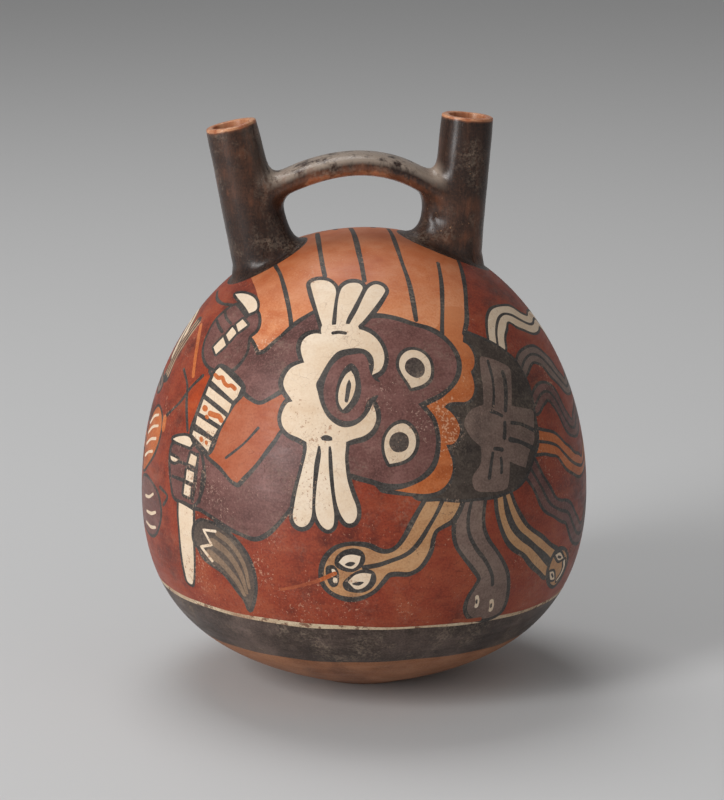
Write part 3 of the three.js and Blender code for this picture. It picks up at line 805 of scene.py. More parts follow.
FAR_SERPENT_HEAD = [
    (55.8, -29.4), (57.6, -25.6), (61, -23), (65, -23.8), (68.6, -26.8), (70.4, -31), (69.4, -35.6),
    (66.4, -39), (62.4, -40), (58.8, -37.6), (56.4, -34),
]
FAR_SERPENT_FACE = [
    (57.4, -29.6), (59.2, -26.2), (61.6, -24.6), (64.6, -25.2), (67.4, -27.6), (68.8, -31), (68, -34.8),
    (65.4, -37.4), (62.4, -38.4), (59.8, -36.6), (57.8, -33.6),
]
FAR_SERPENT_EYES = [
    ([(60.6, -25.4, SHARP), (63.4, -25.6), (66, -29, SHARP), (62.8, -28.4)], [(62.4, -26.8), (64, -27.8)]),
    ([(57.8, -30.8, SHARP), (60, -31.6), (61.4, -35.4, SHARP), (58.8, -34.2)],
     [(59.2, -32.2), (60.2, -33.8)]),
]
FAR_SERPENT_JAW = [(66.8, -30.6), (67.2, -33), (65.6, -35.6), (63.4, -36.8)]

# Arms, hands, cuff, knife and plume
UPPER_ARM = [
    (-63, 44), (-58, 47.4), (-50, 55.6), (-47, 54.8), (-43.4, 49, SHARP), (-40.6, 49.4), (-36, 53.4),
    (-31, 57.5), (-26, 61), (-21, 63.4), (-10, 60), (-20, 40), (-30, 36.6), (-33.6, 37.1), (-37.4, 35),
    (-41.4, 33.2), (-45, 34.8), (-48.8, 37.6),
]
UPPER_HAND = [
    (-62.4, 45), (-66, 47.4), (-68.4, 51.4), (-68.9, 56), (-67.6, 60.6), (-65.6, 64.6), (-62.6, 67.4),
    (-58.6, 69.8), (-55.4, 70.6), (-51.6, 69), (-48.4, 65.6), (-45.2, 65.4), (-43.9, 62), (-44.6, 58.6),
    (-47.2, 56.2), (-48, 50), (-54, 44),
]
UPPER_FINGERS = [
    [(-65, 65.6), (-62.6, 62), (-60.2, 59.4)], [(-61.2, 69), (-59.4, 65.4), (-56.4, 62.4)],
    [(-55.8, 71.4), (-52.6, 68.2), (-49.2, 64.4)],
]
UPPER_NAIL = [
    (-57.7, 76.8, SHARP), (-53.9, 76.1), (-50.4, 74.7), (-47.4, 72.6), (-45.5, 69.8), (-45.4, 66.9),
    (-48.4, 65.7, SHARP), (-50.3, 68.4), (-52.8, 71.3), (-55.1, 73.7),
]
UPPER_KNUCKLES = [
    [(-63.5, 53.3), (-59.3, 57), (-57.3, 53.6), (-61.6, 50.3)],
    [(-57.9, 57.8), (-55.4, 60.8), (-52.9, 58.2), (-56, 55)],
    [(-53.7, 61.7), (-51, 63.5), (-48.5, 60.8), (-52.2, 58.5)],
]
LOWER_ARM = [
    (-63.6, 14), (-60.6, 11.8), (-55, 8.6), (-50.4, 5), (-47.6, 4.2), (-44.6, 7.2), (-39.6, 13.4),
    (-35, 19.6), (-32, 23.6), (-24, 22), (-26, 12), (-27.6, 4), (-30.4, -0.6), (-33.6, -5), (-37.6, -9),
    (-41, -10.8), (-46, -10.2), (-51.6, -8.6), (-57, -6.8), (-62, -5.4), (-66.4, -5), (-66, 4), (-65, 12),
]
LOWER_HAND = [
    (-64.4, 14), (-66.6, 16.4), (-70, 14.6), (-75, 15.2), (-78.8, 14.4), (-79.4, 9), (-78.6, 4),
    (-77, -1.4), (-75.2, -4.6), (-70, -4.8), (-65.4, -4.8), (-62, 4),
]
LOWER_FINGERS = [
    [(-77.4, 8.4), (-73.6, 8.8), (-69.4, 8.5)], [(-77.4, 2.7), (-73.4, 2.6), (-69.6, 2.5)],
    [(-65, 13), (-65.2, 4), (-66, -4)], [(-62.2, 7.6), (-62.4, 2), (-62.9, -3.4)],
]
LOWER_NAILS = [
    [(-79.4, 16.6, SHARP), (-77.2, 17.7), (-74.3, 18.5), (-71.2, 18.8), (-67.6, 17.5, SHARP),
     (-69.2, 15.2, SHARP), (-72.1, 15.5), (-75.8, 15.9)],
    [(-79.8, 10.1, SHARP), (-77.4, 9.9), (-74.8, 9.5, SHARP), (-76.6, 8.4), (-79, 8.7)],
]
LOWER_KNUCKLES = [
    [(-68.5, 12.9), (-65.4, 12.1), (-65.9, 8.6), (-69.4, 9.2)],
    [(-69.8, 6.9), (-66.2, 6.4), (-66.4, 2.7), (-70, 3.1)],
    [(-70.3, 1.5), (-67.2, 1.1), (-67.3, -2.7), (-70.5, -2.4)],
]
CUFF = [
    (-58.7, 45.3), (-48.3, 37.2), (-52, 31.6), (-56.6, 23.8), (-60.6, 14.5), (-68.8, 19.8), (-67.3, 27.2),
    (-64.2, 35.4), (-60.4, 44),
]
CUFF_CELLS = [
    [(-58.8, 45), (-48.8, 37.5), (-50, 34.4), (-51.6, 33), (-62, 40.1), (-60.4, 43.8)],
    [(-63.1, 37.9), (-52.2, 31.7), (-53.2, 28.6), (-64.1, 34.8)],
    [(-64.8, 33.1), (-54.1, 27.2), (-56, 24.1), (-66.3, 28.1)],
    [(-67.1, 26.8), (-57.2, 22.8), (-58.9, 20), (-67.5, 23.8)],
    [(-68.2, 21.3), (-59.4, 18.4), (-60.6, 14.7), (-68.7, 19.8)],
]
CUFF_SPOTS = [
    (1.7, [(-60.6, 42.2), (-58.9, 41.1), (-57.2, 41.2), (-56, 39.3), (-54.4, 38.2), (-52.9, 38.3),
     (-51.3, 37.2)]),
    (2.3, [(-64, 29.9), (-63.5, 29.7)]), (1.9, [(-61.2, 28.1), (-59.1, 27.6), (-57, 27.2), (-55.9, 26)]),
    (1.4, [(-62.7, 26.9), (-62.2, 26.6)]), (1.6, [(-64.2, 18.8), (-64, 18.4)]),
    (1.5, [(-61.8, 17.8), (-61.6, 17.5)]),
]
KNIFE = [
    (-72.7, -6.1, SHARP), (-69.2, -6.4), (-65.5, -7.1, SHARP), (-65.1, -12), (-64.5, -19), (-63.9, -26),
    (-64.1, -32), (-64.9, -35.1), (-66.9, -35), (-68.2, -31.4), (-69.8, -24.4), (-71.2, -17),
    (-72.4, -10.6),
]
PLUME = [
    (-63.9, -12.6), (-62, -10.2), (-58.4, -9.6), (-54.2, -10.4), (-49.8, -12.2), (-45.9, -14.9),
    (-42.9, -18.5), (-41, -22.6), (-40.3, -27), (-40.8, -32), (-41.8, -36, SHARP), (-43.2, -32.6),
    (-45.4, -30.2), (-48.4, -27.2), (-51.8, -24.9), (-56, -23.3), (-59.6, -21.8), (-61.4, -19.6),
    (-63.8, -17.2),
]
PLUME_VEINS = [
    (3.0, 1.2, [(-57.2, -20.2), (-53, -21.6), (-49.2, -24.2), (-46, -27.2), (-43.6, -31)]),
    (2.6, 1.0, [(-56.4, -15.6), (-51.6, -17.4), (-47.8, -20.4), (-44.8, -24.6), (-42.8, -30)]),
    (1.8, 0.9, [(-54.6, -12.4), (-50.2, -14.2), (-46.6, -17.2), (-43.8, -21.4), (-42, -28)]),
]
PLUME_ZIGZAG = [
    (-55.4, -11.9), (-60.3, -12.6, SHARP), (-56.5, -16.9, SHARP), (-60.9, -18.8, SHARP), (-56, -22.4),
]

BETWEEN_ARMS = [
    (-50, 36), (-46, 34), (-41, 32), (-37, 34.4), (-30, 38), (-25, 30), (-28, 20), (-38, 12), (-47, 3),
    (-54, 8), (-60, 13), (-57, 22), (-53, 31),
]
ARM_GAP_LINE = [(-53, 13.4), (-46.4, 18.8), (-41.4, 24.2)]

# Ends of the other side's streamers, which come round the body's left
TAIL_TUFT = [(-79, 68), (-85, 61.4), (-91.4, 53.4), (-95.3, 43.4)]
TAIL_ORANGE_LINE = [(-75.2, 65), (-73.8, 55), (-72.4, 42)]
TAIL_GROUND = [
    (-67.4, 42), (-62.6, 40.8), (-64.8, 34), (-67.4, 27), (-69.2, 20.6), (-71.2, 20.4), (-73.6, 30.4),
    (-74, 37),
]
TAIL_NET = [
    [(-79.6, 45), (-75.2, 38.6), (-73.8, 31), (-71.4, 21)],
    [(-66.8, 42), (-72.4, 37.6), (-77.7, 31.6), (-84.7, 26.3), (-92, 20.6)],
    [(-85, -3.8), (-79.6, -5.8), (-81.8, -10)],
]
TAIL_ORANGE = [
    (-106, 16), (-101, 25), (-96, 28), (-91.4, 25.6), (-89.4, 21), (-89.8, 15), (-92.4, 9), (-98, 2.4),
    (-106, -3),
]
TAIL_ORANGE_RAYS = [
    [(-104, 19.4), (-99, 23.4), (-94, 24.6)], [(-104.6, 14.6), (-98.4, 18.6), (-92.6, 20)],
    [(-104.6, 9.4), (-98.6, 13), (-93, 14.4)], [(-104.6, 3.8), (-99.4, 7), (-95, 8.4)],
]
TAIL_ORANGE_SPOT = [(-87.4, 24), (-87.2, 19.6)]
TAIL_PURPLE = [
    (-106, -8), (-100, -4.6), (-93.4, -4.4), (-86.6, -7.4), (-83.6, -13.4), (-84.8, -20.4), (-88.6, -25.6),
    (-95, -28), (-106, -26),
]
TAIL_PURPLE_RAYS = [
    [(-98.6, -12.8), (-94.2, -11.4), (-90.4, -8.6)], [(-96.4, -19), (-91.4, -17.6), (-87.6, -15.4)],
    [(-97, -24.6), (-91.4, -23.8), (-87.2, -21.8)],
]

# Panel over the top, with its stripes
PANEL = [
    (-53, 88.4), (-50, 82), (-47, 76.4), (-44.8, 70), (-43.8, 62.6), (-46.4, 55.4), (-43, 48.4), (-31, 56),
    (-20, 62), (0, 58), (18, 53), (24, 56), (31.4, 56.6), (34.6, 68), (37, 78), (39, 90),
    (41, 103.6, SHARP), (36, 108.6), (26, 112.4), (13, 115), (0, 116), (-13, 115), (-26, 112.4),
    (-38, 107.6), (-46, 102), (-54, 96.6, SHARP),
]
STRIPES = [
    (1.9, 1.6, [(-41.6, 92), (-39.6, 87.4), (-37.2, 82.8), (-34.9, 76.4), (-32.8, 69), (-31.3, 62),
     (-30.7, 57)]),
    (2.3, 1.9, [(-22.8, 112.6), (-22, 105), (-21, 96), (-20.3, 90), (-19.4, 83), (-18.7, 78.6)]),
    (2.6, 1.9, [(-5.9, 115.2), (-5.4, 105), (-5.1, 97), (-4.9, 90), (-4.5, 84), (-4.1, 75.4)]),
    (2, 1.7, [(13, 114.6), (12.2, 106.4), (11.4, 94.7), (11.5, 84), (12.4, 73.7), (12.6, 59.6)]),
    (1.7, 1.5, [(27.1, 84.9), (25.4, 74.6), (23.4, 65), (21.7, 57), (20.9, 51.6)]),
    (2, 1.7, [(39, 90), (37.4, 82), (35.6, 74), (33.4, 65.4), (32, 59.6), (29.8, 54.6)]),
    (1.6, 1.5, [(-73, 84.3), (-69.6, 78), (-64.4, 73.6), (-57.4, 71)]),
]


# Brushwork: outlines drawn through given points

def curve_through(points, closed):
    """Smooth line through given points. Its last point is left off."""
    points = np.array(points, float)
    if closed:
        run = np.vstack([points[-1:], points, points[:2]])
    else:
        run = np.vstack([2 * points[0] - points[1], points, 2 * points[-1] - points[-2]])
    stretches = []
    for before, start, end, after in zip(run, run[1:], run[2:], run[3:]):
        first, middle, last = (max(math.dist(a, b), LINE_STEP / 10) ** 0.5
                               for a, b in ((before, start), (start, end), (end, after)))
        leave = (start - before) / first - (end - before) / (first + middle) + (end - start) / middle
        arrive = (end - start) / middle - (after - start) / (middle + last) + (after - end) / last
        steps = max(1, round(middle ** 2 / LINE_STEP))
        control = [start, start + leave * middle / 3, end - arrive * middle / 3, end]
        stretches.append(bezier(control, np.arange(steps) / steps))
    return np.vstack(stretches)


def between_corners(points, ends):
    """Line made of smooth stretches between the points whose numbers are given."""
    places = [point[:2] for point in points]
    return np.vstack([curve_through(places[a:b + 1], False) for a, b in zip(ends, ends[1:])])


def outline(points):
    """Closed outline through given points, smooth but for the points marked SHARP."""
    corners = [i for i, point in enumerate(points) if len(point) > 2]
    if not corners:
        return curve_through(points, True)
    first = corners[0]
    points = points[first:] + points[:first + 1]
    return between_corners(points, [i - first for i in corners] + [len(points) - 1])


def hand_pressure(places):
    """How much wider or narrower than meant a brush lies, from place to place."""
    x, y = places.T
    return 1 + 0.09 * np.sin(0.41 * x + 0.23 * y) + 0.07 * np.sin(0.19 * y - 0.53 * x + 1)


def grown(loop, width):
    """A loop made wider all round, as a brush line runs along its outside."""
    after = np.roll(loop, -1, axis=0)
    if np.sum(loop[:, 0] * after[:, 1] - after[:, 0] * loop[:, 1]) < 0:
        loop = loop[::-1]
        after = np.roll(loop, -1, axis=0)
    edge = after - loop
    out_after = np.stack([edge[:, 1], -edge[:, 0]], 1) / np.linalg.norm(edge, axis=1)[:, None]
    out_before = np.roll(out_after, 1, axis=0)
    places = []
    for place, reach, a, b in zip(loop, width * hand_pressure(loop), out_before, out_after):
        middle = (a + b) / max(np.linalg.norm(a + b), 0.1)
        ways = (middle,) if a @ b > NEARLY_STRAIGHT else (a, middle, b)
        places += [place + way * reach for way in ways]
    return np.array(places)


def stroke(points, width, end_width=None):
    """Outline of one brush stroke with round ends, whose width may change along it."""
    corners = [i for i, point in enumerate(points) if len(point) > 2 and 0 < i < len(points) - 1]
    line = between_corners(points, [0] + corners + [len(points) - 1])
    line = np.vstack([line, [points[-1][:2]]])
    half = np.linspace(width, width if end_width is None else end_width, len(line)) / 2
    half = (half * hand_pressure(line))[:, None]
    run = np.gradient(line, axis=0)
    run /= np.linalg.norm(run, axis=1)[:, None]
    across = np.stack([-run[:, 1], run[:, 0]], 1)
    bend = np.linspace(0, math.pi, ROUND_END_POINTS)[1:-1, None]
    end_cap = line[-1] + half[-1] * (np.cos(bend) * across[-1] + np.sin(bend) * run[-1])
    start_cap = line[0] - half[0] * (np.cos(bend) * across[0] + np.sin(bend) * run[0])
    return np.vstack([line + across * half, end_cap, (line - across * half)[::-1], start_cap])


class Painting:
    """Slips and the loops that they fill, in the order of painting."""

    def __init__(self):
        self.layers = []

    def fill(self, slip, *shapes):
        self.layers += [(slip, outline(shape)) for shape in shapes]

    def edge(self, *shapes, line=INK):
        """Ink lines along the outside of shapes."""
        self.layers += [("ink", grown(outline(shape), line)) for shape in shapes]

    def outlined(self, slip, *shapes, line=INK):
        self.edge(*shapes, line=line)
        self.fill(slip, *shapes)

    def brush(self, slip, *lines, width, end_width=None):
        self.layers += [(slip, stroke(line, width, end_width)) for line in lines]


def paint_streamers(painting):
    start_ink, end_ink = STREAMER_INK
    for _, width, end_width, line in STREAMERS:
        painting.brush("ink", line, width=width + start_ink, end_width=end_width + end_ink)
    for slip, width, end_width, line in STREAMERS:
        painting.brush(slip, line, width=width, end_width=end_width)
        painting.brush("ink", line, width=STREAMER_LINE[0], end_width=STREAMER_LINE[1])


def paint_tail(painting):
    painting.brush("ink", TAIL_TUFT, width=5, end_width=8)
    for aside in (-TUFT_SPACING, 0, TUFT_SPACING):
        hair = [(x + aside, y - aside / 2) for x, y in TAIL_TUFT]
        painting.brush("blush", hair, width=0.9, end_width=1.3)
    painting.fill("red_orange", TAIL_GROUND)
    painting.brush("ink", *TAIL_NET, width=1.3)
    painting.outlined("orange", TAIL_ORANGE)
    painting.brush("cream", *TAIL_ORANGE_RAYS, width=1.3)
    painting.brush("orange", TAIL_ORANGE_LINE, width=2)
    painting.brush("orange", TAIL_ORANGE_SPOT, width=2.6)
    painting.outlined("purple", TAIL_PURPLE)
    painting.brush("cream", *TAIL_PURPLE_RAYS, width=1.3)


def paint_serpents(painting):
    painting.brush("ink", *FAR_SERPENT, width=4.6, end_width=6.6)
    painting.brush("tan", *FAR_SERPENT, width=1.8, end_width=3)
    painting.fill("ink", FAR_SERPENT_HEAD)
    painting.fill("tan", FAR_SERPENT_FACE)
    for eye, pupil in FAR_SERPENT_EYES:
        painting.outlined("cream", eye, line=1)
        painting.brush("ink", pupil, width=0.9)
    painting.brush("ink", FAR_SERPENT_JAW, width=3)
    painting.brush("cream", FAR_SERPENT_JAW, width=1.1)
    painting.outlined("grey", GREY_SERPENT)
    painting.brush("ink", GREY_SERPENT_BACK, width=1.2)
    for x, y in GREY_SERPENT_EYES:
        painting.brush("cream", [(x, y - 1.6), (x + 0.3, y), (x, y + 1.6)], width=1.5)
        painting.brush("ink", [(x, y - 0.5), (x, y + 0.5)], width=0.7)
    painting.brush("faint_orange", GREY_SERPENT_TONGUE, width=1.6, end_width=1)
    painting.outlined("tan", NEAR_SERPENT, line=1.5)
    painting.brush("ink", NEAR_SERPENT_BACK, width=INK)
    for socket, eye, pupil in NEAR_SERPENT_EYES:
        painting.fill("ink", socket)
        painting.fill("cream", eye)
        painting.fill("ink", pupil)
    painting.fill("ink", NEAR_SERPENT_JAW)
    painting.fill("cream", *NEAR_SERPENT_TEETH)
    painting.brush("orange", NEAR_SERPENT_TONGUE[:2], width=1.2)
    painting.brush("faint_orange", NEAR_SERPENT_TONGUE[1:], width=1.2, end_width=0.9)


def paint_trunk(painting):
    painting.outlined("dark_body", BODY, line=1)
    painting.fill("grey", BODY_CROSS)
    for width, line in BODY_LINES:
        painting.brush("ink", line, width=width)
    painting.edge(COLLAR, line=1.2)
    painting.fill("panel_orange", PANEL)
    painting.fill("orange", COLLAR)
    for top, bottom, line in STRIPES:
        painting.brush("ink", line, width=top, end_width=bottom)


def paint_arms(painting):
    painting.fill("worn_orange", BETWEEN_ARMS)
    painting.brush("ink", ARM_GAP_LINE, width=0.9)
    painting.outlined("purple", UPPER_ARM, LOWER_ARM, line=1.5)
    painting.outlined("purple", UPPER_HAND, LOWER_HAND)
    painting.brush("ink", *UPPER_FINGERS, *LOWER_FINGERS, width=1.3)
    painting.outlined("cream", UPPER_NAIL, *LOWER_NAILS, line=1.2)
    for knuckle in UPPER_KNUCKLES + LOWER_KNUCKLES:
        painting.outlined("cream", [(x, y, SHARP) for x, y in knuckle], line=1.1)
    painting.edge(CUFF, line=1.3)
    painting.layers += [("cream", np.array(cell, float)) for cell in CUFF_CELLS]
    for width, spot in CUFF_SPOTS:
        painting.brush("orange", spot, width=width)
    painting.outlined("cream", KNIFE, line=1.1)
    painting.outlined("plume_dark", PLUME, line=1.2)
    for width, end_width, line in PLUME_VEINS:
        painting.brush("plume_vein", line, width=width, end_width=end_width)
    painting.brush("cream", PLUME_ZIGZAG, width=1)


def paint_face(painting):
    painting.outlined("purple", HEAD, line=1.7)
    for eye, pupil in EYES:
        painting.outlined("cream", eye, line=1.1)
        painting.fill("pupil", pupil)
    painting.outlined("cream", *TRESSES, line=1.3)
    painting.fill("cream", TRESS_CROWN)
    painting.outlined("cream", *FAN_FINGERS, line=1.6)
    painting.fill("cream", FAN_WRIST)
    painting.edge(MASK, line=1.6)
    painting.fill("ink", MASK_HOLLOW)
    painting.fill("purple", MOUTH_FACE)
    painting.fill("ink", MOUTH_RING)
    painting.fill("cream", MOUTH_LIPS)
    painting.fill("ink", MOUTH_SLIT)
    painting.fill("cream", MASK, FAN_WRIST, *FAN_FINGERS, *TRESSES)
    painting.brush("ink", FAN_DASH, width=1.1)
    painting.fill("ink", CHIN_MARK)


def paint_figure():
    """The masked figure, from the parts that lie furthest back to the face."""
    painting = Painting()
    for paint in (paint_streamers, paint_tail, paint_serpents, paint_trunk, paint_arms, paint_face):
        paint(painting)
    return painting.layers


# Painted body: one skin of triangles on the map, cut along every painted edge, seam and hole

def on_wall(drawing, turn):
    """Map places of a drawing laid on the front, or turned about the body's axis from there."""
    x, y = drawing.T
    distance = np.maximum(np.hypot(x, y), LINE_STEP / 100)
    angle = distance / BELLY_RADIUS
    right, forward, up = np.sin(angle) * x / distance, -np.cos(angle), np.sin(angle) * y / distance
    sine, cosine = math.sin(turn), math.cos(turn)
    way = np.stack([right * cosine - forward * sine, right * sine + forward * cosine, up], -1)
    return wall.from_directions(way)


def ring_of_places(distance, count, shift=0):
    return on_circle(distance, (np.arange(count) + shift) * TURN / count)


def band_edge(height, tilt=0):
    """Map loop of a painted band's edge round the body, a little wavy as a hand leaves it."""
    count = round(TURN * wall.at_height(height) / SLIP_EDGE_STEP)
    angle = np.arange(count) * TURN / count
    wave = np.sin(3 * angle + height) + 0.6 * np.sin(7 * angle + 2 * height) + 0.4 * np.sin(17 * angle)
    level = height + tilt * np.cos(angle) * wall.at_height(height) + BAND_WAVER * wave
    return on_circle(np.array([wall.on_map(z) for z in level]), angle)


def spout_mark(spout, reach_out, reach_in):
    """Map loop about a spout's foot, so far from its wall outwards and towards the bridge."""
    places = []
    for angle in np.arange(MARK_POINTS) * TURN / MARK_POINTS:
        radius = spout.base + reach_out + (reach_in - reach_out) * spout.to_bridge(angle) ** REACH_POWER
        level = spout.dome_level(radius, angle)
        places.append(spout.placed(at_angle(radius, angle, level)))
    return wall.from_points(np.array(places))


def inside(loop, places):
    """Numbers of the places inside a loop, which may cross itself."""
    near = np.flatnonzero(((places > loop.min(0)) & (places < loop.max(0))).all(1))
    x, y = places[near].T
    turns = np.zeros(len(near), int)
    for (x0, y0), (x1, y1) in zip(loop, np.roll(loop, -1, axis=0)):
        side = (x1 - x0) * (y - y0) - (x - x0) * (y1 - y0)
        turns += (y0 <= y) & (y1 > y) & (side > 0)
        turns -= (y0 > y) & (y1 <= y) & (side < 0)
    return near[turns != 0]


def claimed(first, claims, places):
    """The name that holds each place, where each claim's loop covers the ones before it."""
    names = np.full(len(places), first, dtype="U16")
    for name, loop in claims:
        names[inside(loop, places)] = name
    return names


def filling_rings(nearest, furthest, step):
    """Rings of map places between two distances from the crown, even on the clay itself."""
    rings = []
    distance = nearest
    while distance < furthest:
        radius = np.interp(distance, wall.map_radius, wall.radius)
        count = max(FEWEST_IN_RING, round(TURN * radius / step))
        rings.append(ring_of_places(distance, count, len(rings) % 2 / 2))
        distance *= 1 + ROW_SPACING * step / radius
    return np.vstack(rings)


def loop_edges(loops):
    """Edges round each of several loops, whose points are numbered on from loop to loop."""
    edges, start = [], 0
    for loop in loops:
        count = len(loop)
        edges += [(start + i, start + (i + 1) % count) for i in range(count)]
        start += count
    return edges


def triangulated(places, edges, nearness):
    """Places and triangles that keep the given edges, and where each given place went."""
    found = delaunay_2d_cdt([Vector(place) for place in places], edges, [], 0, nearness)
    went = {given: new for new, givens in enumerate(found[3]) for given in givens}
    return np.array([tuple(place) for place in found[0]]), np.array(found[2]), went


def open_edges(triangles):
    """Edges that only one triangle has, in that triangle's direction."""
    edges = np.vstack([triangles[:, [0, 1]], triangles[:, [1, 2]], triangles[:, [2, 0]]])
    keys = np.sort(edges, axis=1)
    _, which, times = np.unique(keys, axis=0, return_inverse=True, return_counts=True)
    return edges[times[which.ravel()] == 1]


def sorted_round(places, middle=(0, 0)):
    """Numbers of places in the order of their directions from a middle."""
    x, y = (places - middle).T
    return np.argsort(np.arctan2(y, x))


def hand_worked(places):
    """Points of the outer wall with slow hollows, as a hand leaves them, calm near the spouts."""
    points, normals = wall.surface(places)
    even, rise = CALM_ROUND_SPOUT
    calm = np.ones(len(points))
    for spout in spouts:
        calm *= np.clip((np.linalg.norm(points - spout.seat, axis=1) - even) / rise, 0, 1)
    depth = BODY_HOLLOWS["depth"] * calm * uneven(points, BODY_HOLLOWS["apart"], 0.4)
    return points - normals * depth[:, None]


def worked_normals(places):
    """Outward directions of the hand-worked wall at map places."""
    step = np.maximum(np.hypot(*places.T), 1e-3)[:, None] * SLOPE_STEP
    along, across = (hand_worked(places + step * way) - hand_worked(places - step * way)
                     for way in np.eye(2))
    normals = np.cross(along, across)
    return normals / np.linalg.norm(normals, axis=1)[:, None]


def paint_body():
    """The whole outer wall as triangles on the map, with the slip and the node of each one."""
    layers = [("dark_band", band_edge(BAND_FOOT)),
              ("cream_line", band_edge(LINE_HEIGHT - LINE_WIDTH / 2, LINE_TILT)),
              ("red_ground", band_edge(LINE_HEIGHT + LINE_WIDTH / 2, LINE_TILT))]
    figure = paint_figure()
    for turn in (math.pi, 0):
        layers += [(slip, on_wall(loop, turn)) for slip, loop in figure]
    for spout in spouts:
        apron = spout_mark(spout, spout.outer_reach + SLIP_APRON, spout.inner_reach + SLIP_APRON)
        layers.append(("dark_slip", apron))
    shoulder, bowl = (ring_of_places(wall.on_map(height), SEAM_POINTS)
                      for height in (SHOULDER_SEAM, BOWL_SEAM))
    holes = [spout_mark(spout, HOLE_CLEARANCE, HOLE_CLEARANCE) for spout in spouts]
    foot = wall.map_radius[-1]
    loops = [loop for _, loop in layers] + [shoulder, bowl, *holes, ring_of_places(foot, FOOT_POINTS)]
    filling = filling_rings(CROWN_GAP, foot * SKIN_MARGIN, SKIN_STEP)
    places, triangles, _ = triangulated(np.vstack(loops + [filling]), loop_edges(loops), SKIN_NEARNESS)
    centres = places[triangles].mean(1)
    cuts = [("belly_wall", bowl), ("shoulder_dome", shoulder)] + [("hole", hole) for hole in holes]
    return dict(places=places, triangles=triangles, slips=claimed("ochre", layers, centres),
                nodes=claimed("base_bowl", cuts, centres))


def through_wall(spout, places):
    """Where the spout's own bore through the wall comes out inside, from map places outside."""
    points, normals = wall.surface(places)
    axis = spout.axis_point(1) - spout.axis_point(0)
    return wall.from_points(points - axis * (WALL / (normals @ axis))[:, None])


def line_inside(node, ring, ties):
    """Places and triangles of a body piece's inside, and which place lies behind each place of
    the ring of its edges."""
    ring = ring.copy()
    distance = np.hypot(*ring.T)
    if node == "shoulder_dome":
        nearest = CROWN_GAP
        gaps = []
        for spout in spouts:
            hole = (distance < distance.max() * AT_EDGE) & (ring[:, 0] * spout.side > 0)
            ring[hole] = through_wall(spout, ring[hole])
            gap = ring[hole]
            gaps.append(gap[sorted_round(gap, gap.mean(0))])
    else:
        nearest = distance.min() * LINING_MARGINS[0]
        gap = ring[distance < distance.mean()]
        gaps = [gap[sorted_round(gap)]]
    filling = filling_rings(nearest, distance.max() * LINING_MARGINS[1], LINING_STEP)
    places, faces, behind = triangulated(np.vstack([ring, filling]), ties, LINING_NEARNESS)
    middles = places[faces].mean(1)
    keep = np.ones(len(faces), bool)
    for gap in gaps:
        keep[inside(gap, middles)] = False
    return places, faces[keep], behind


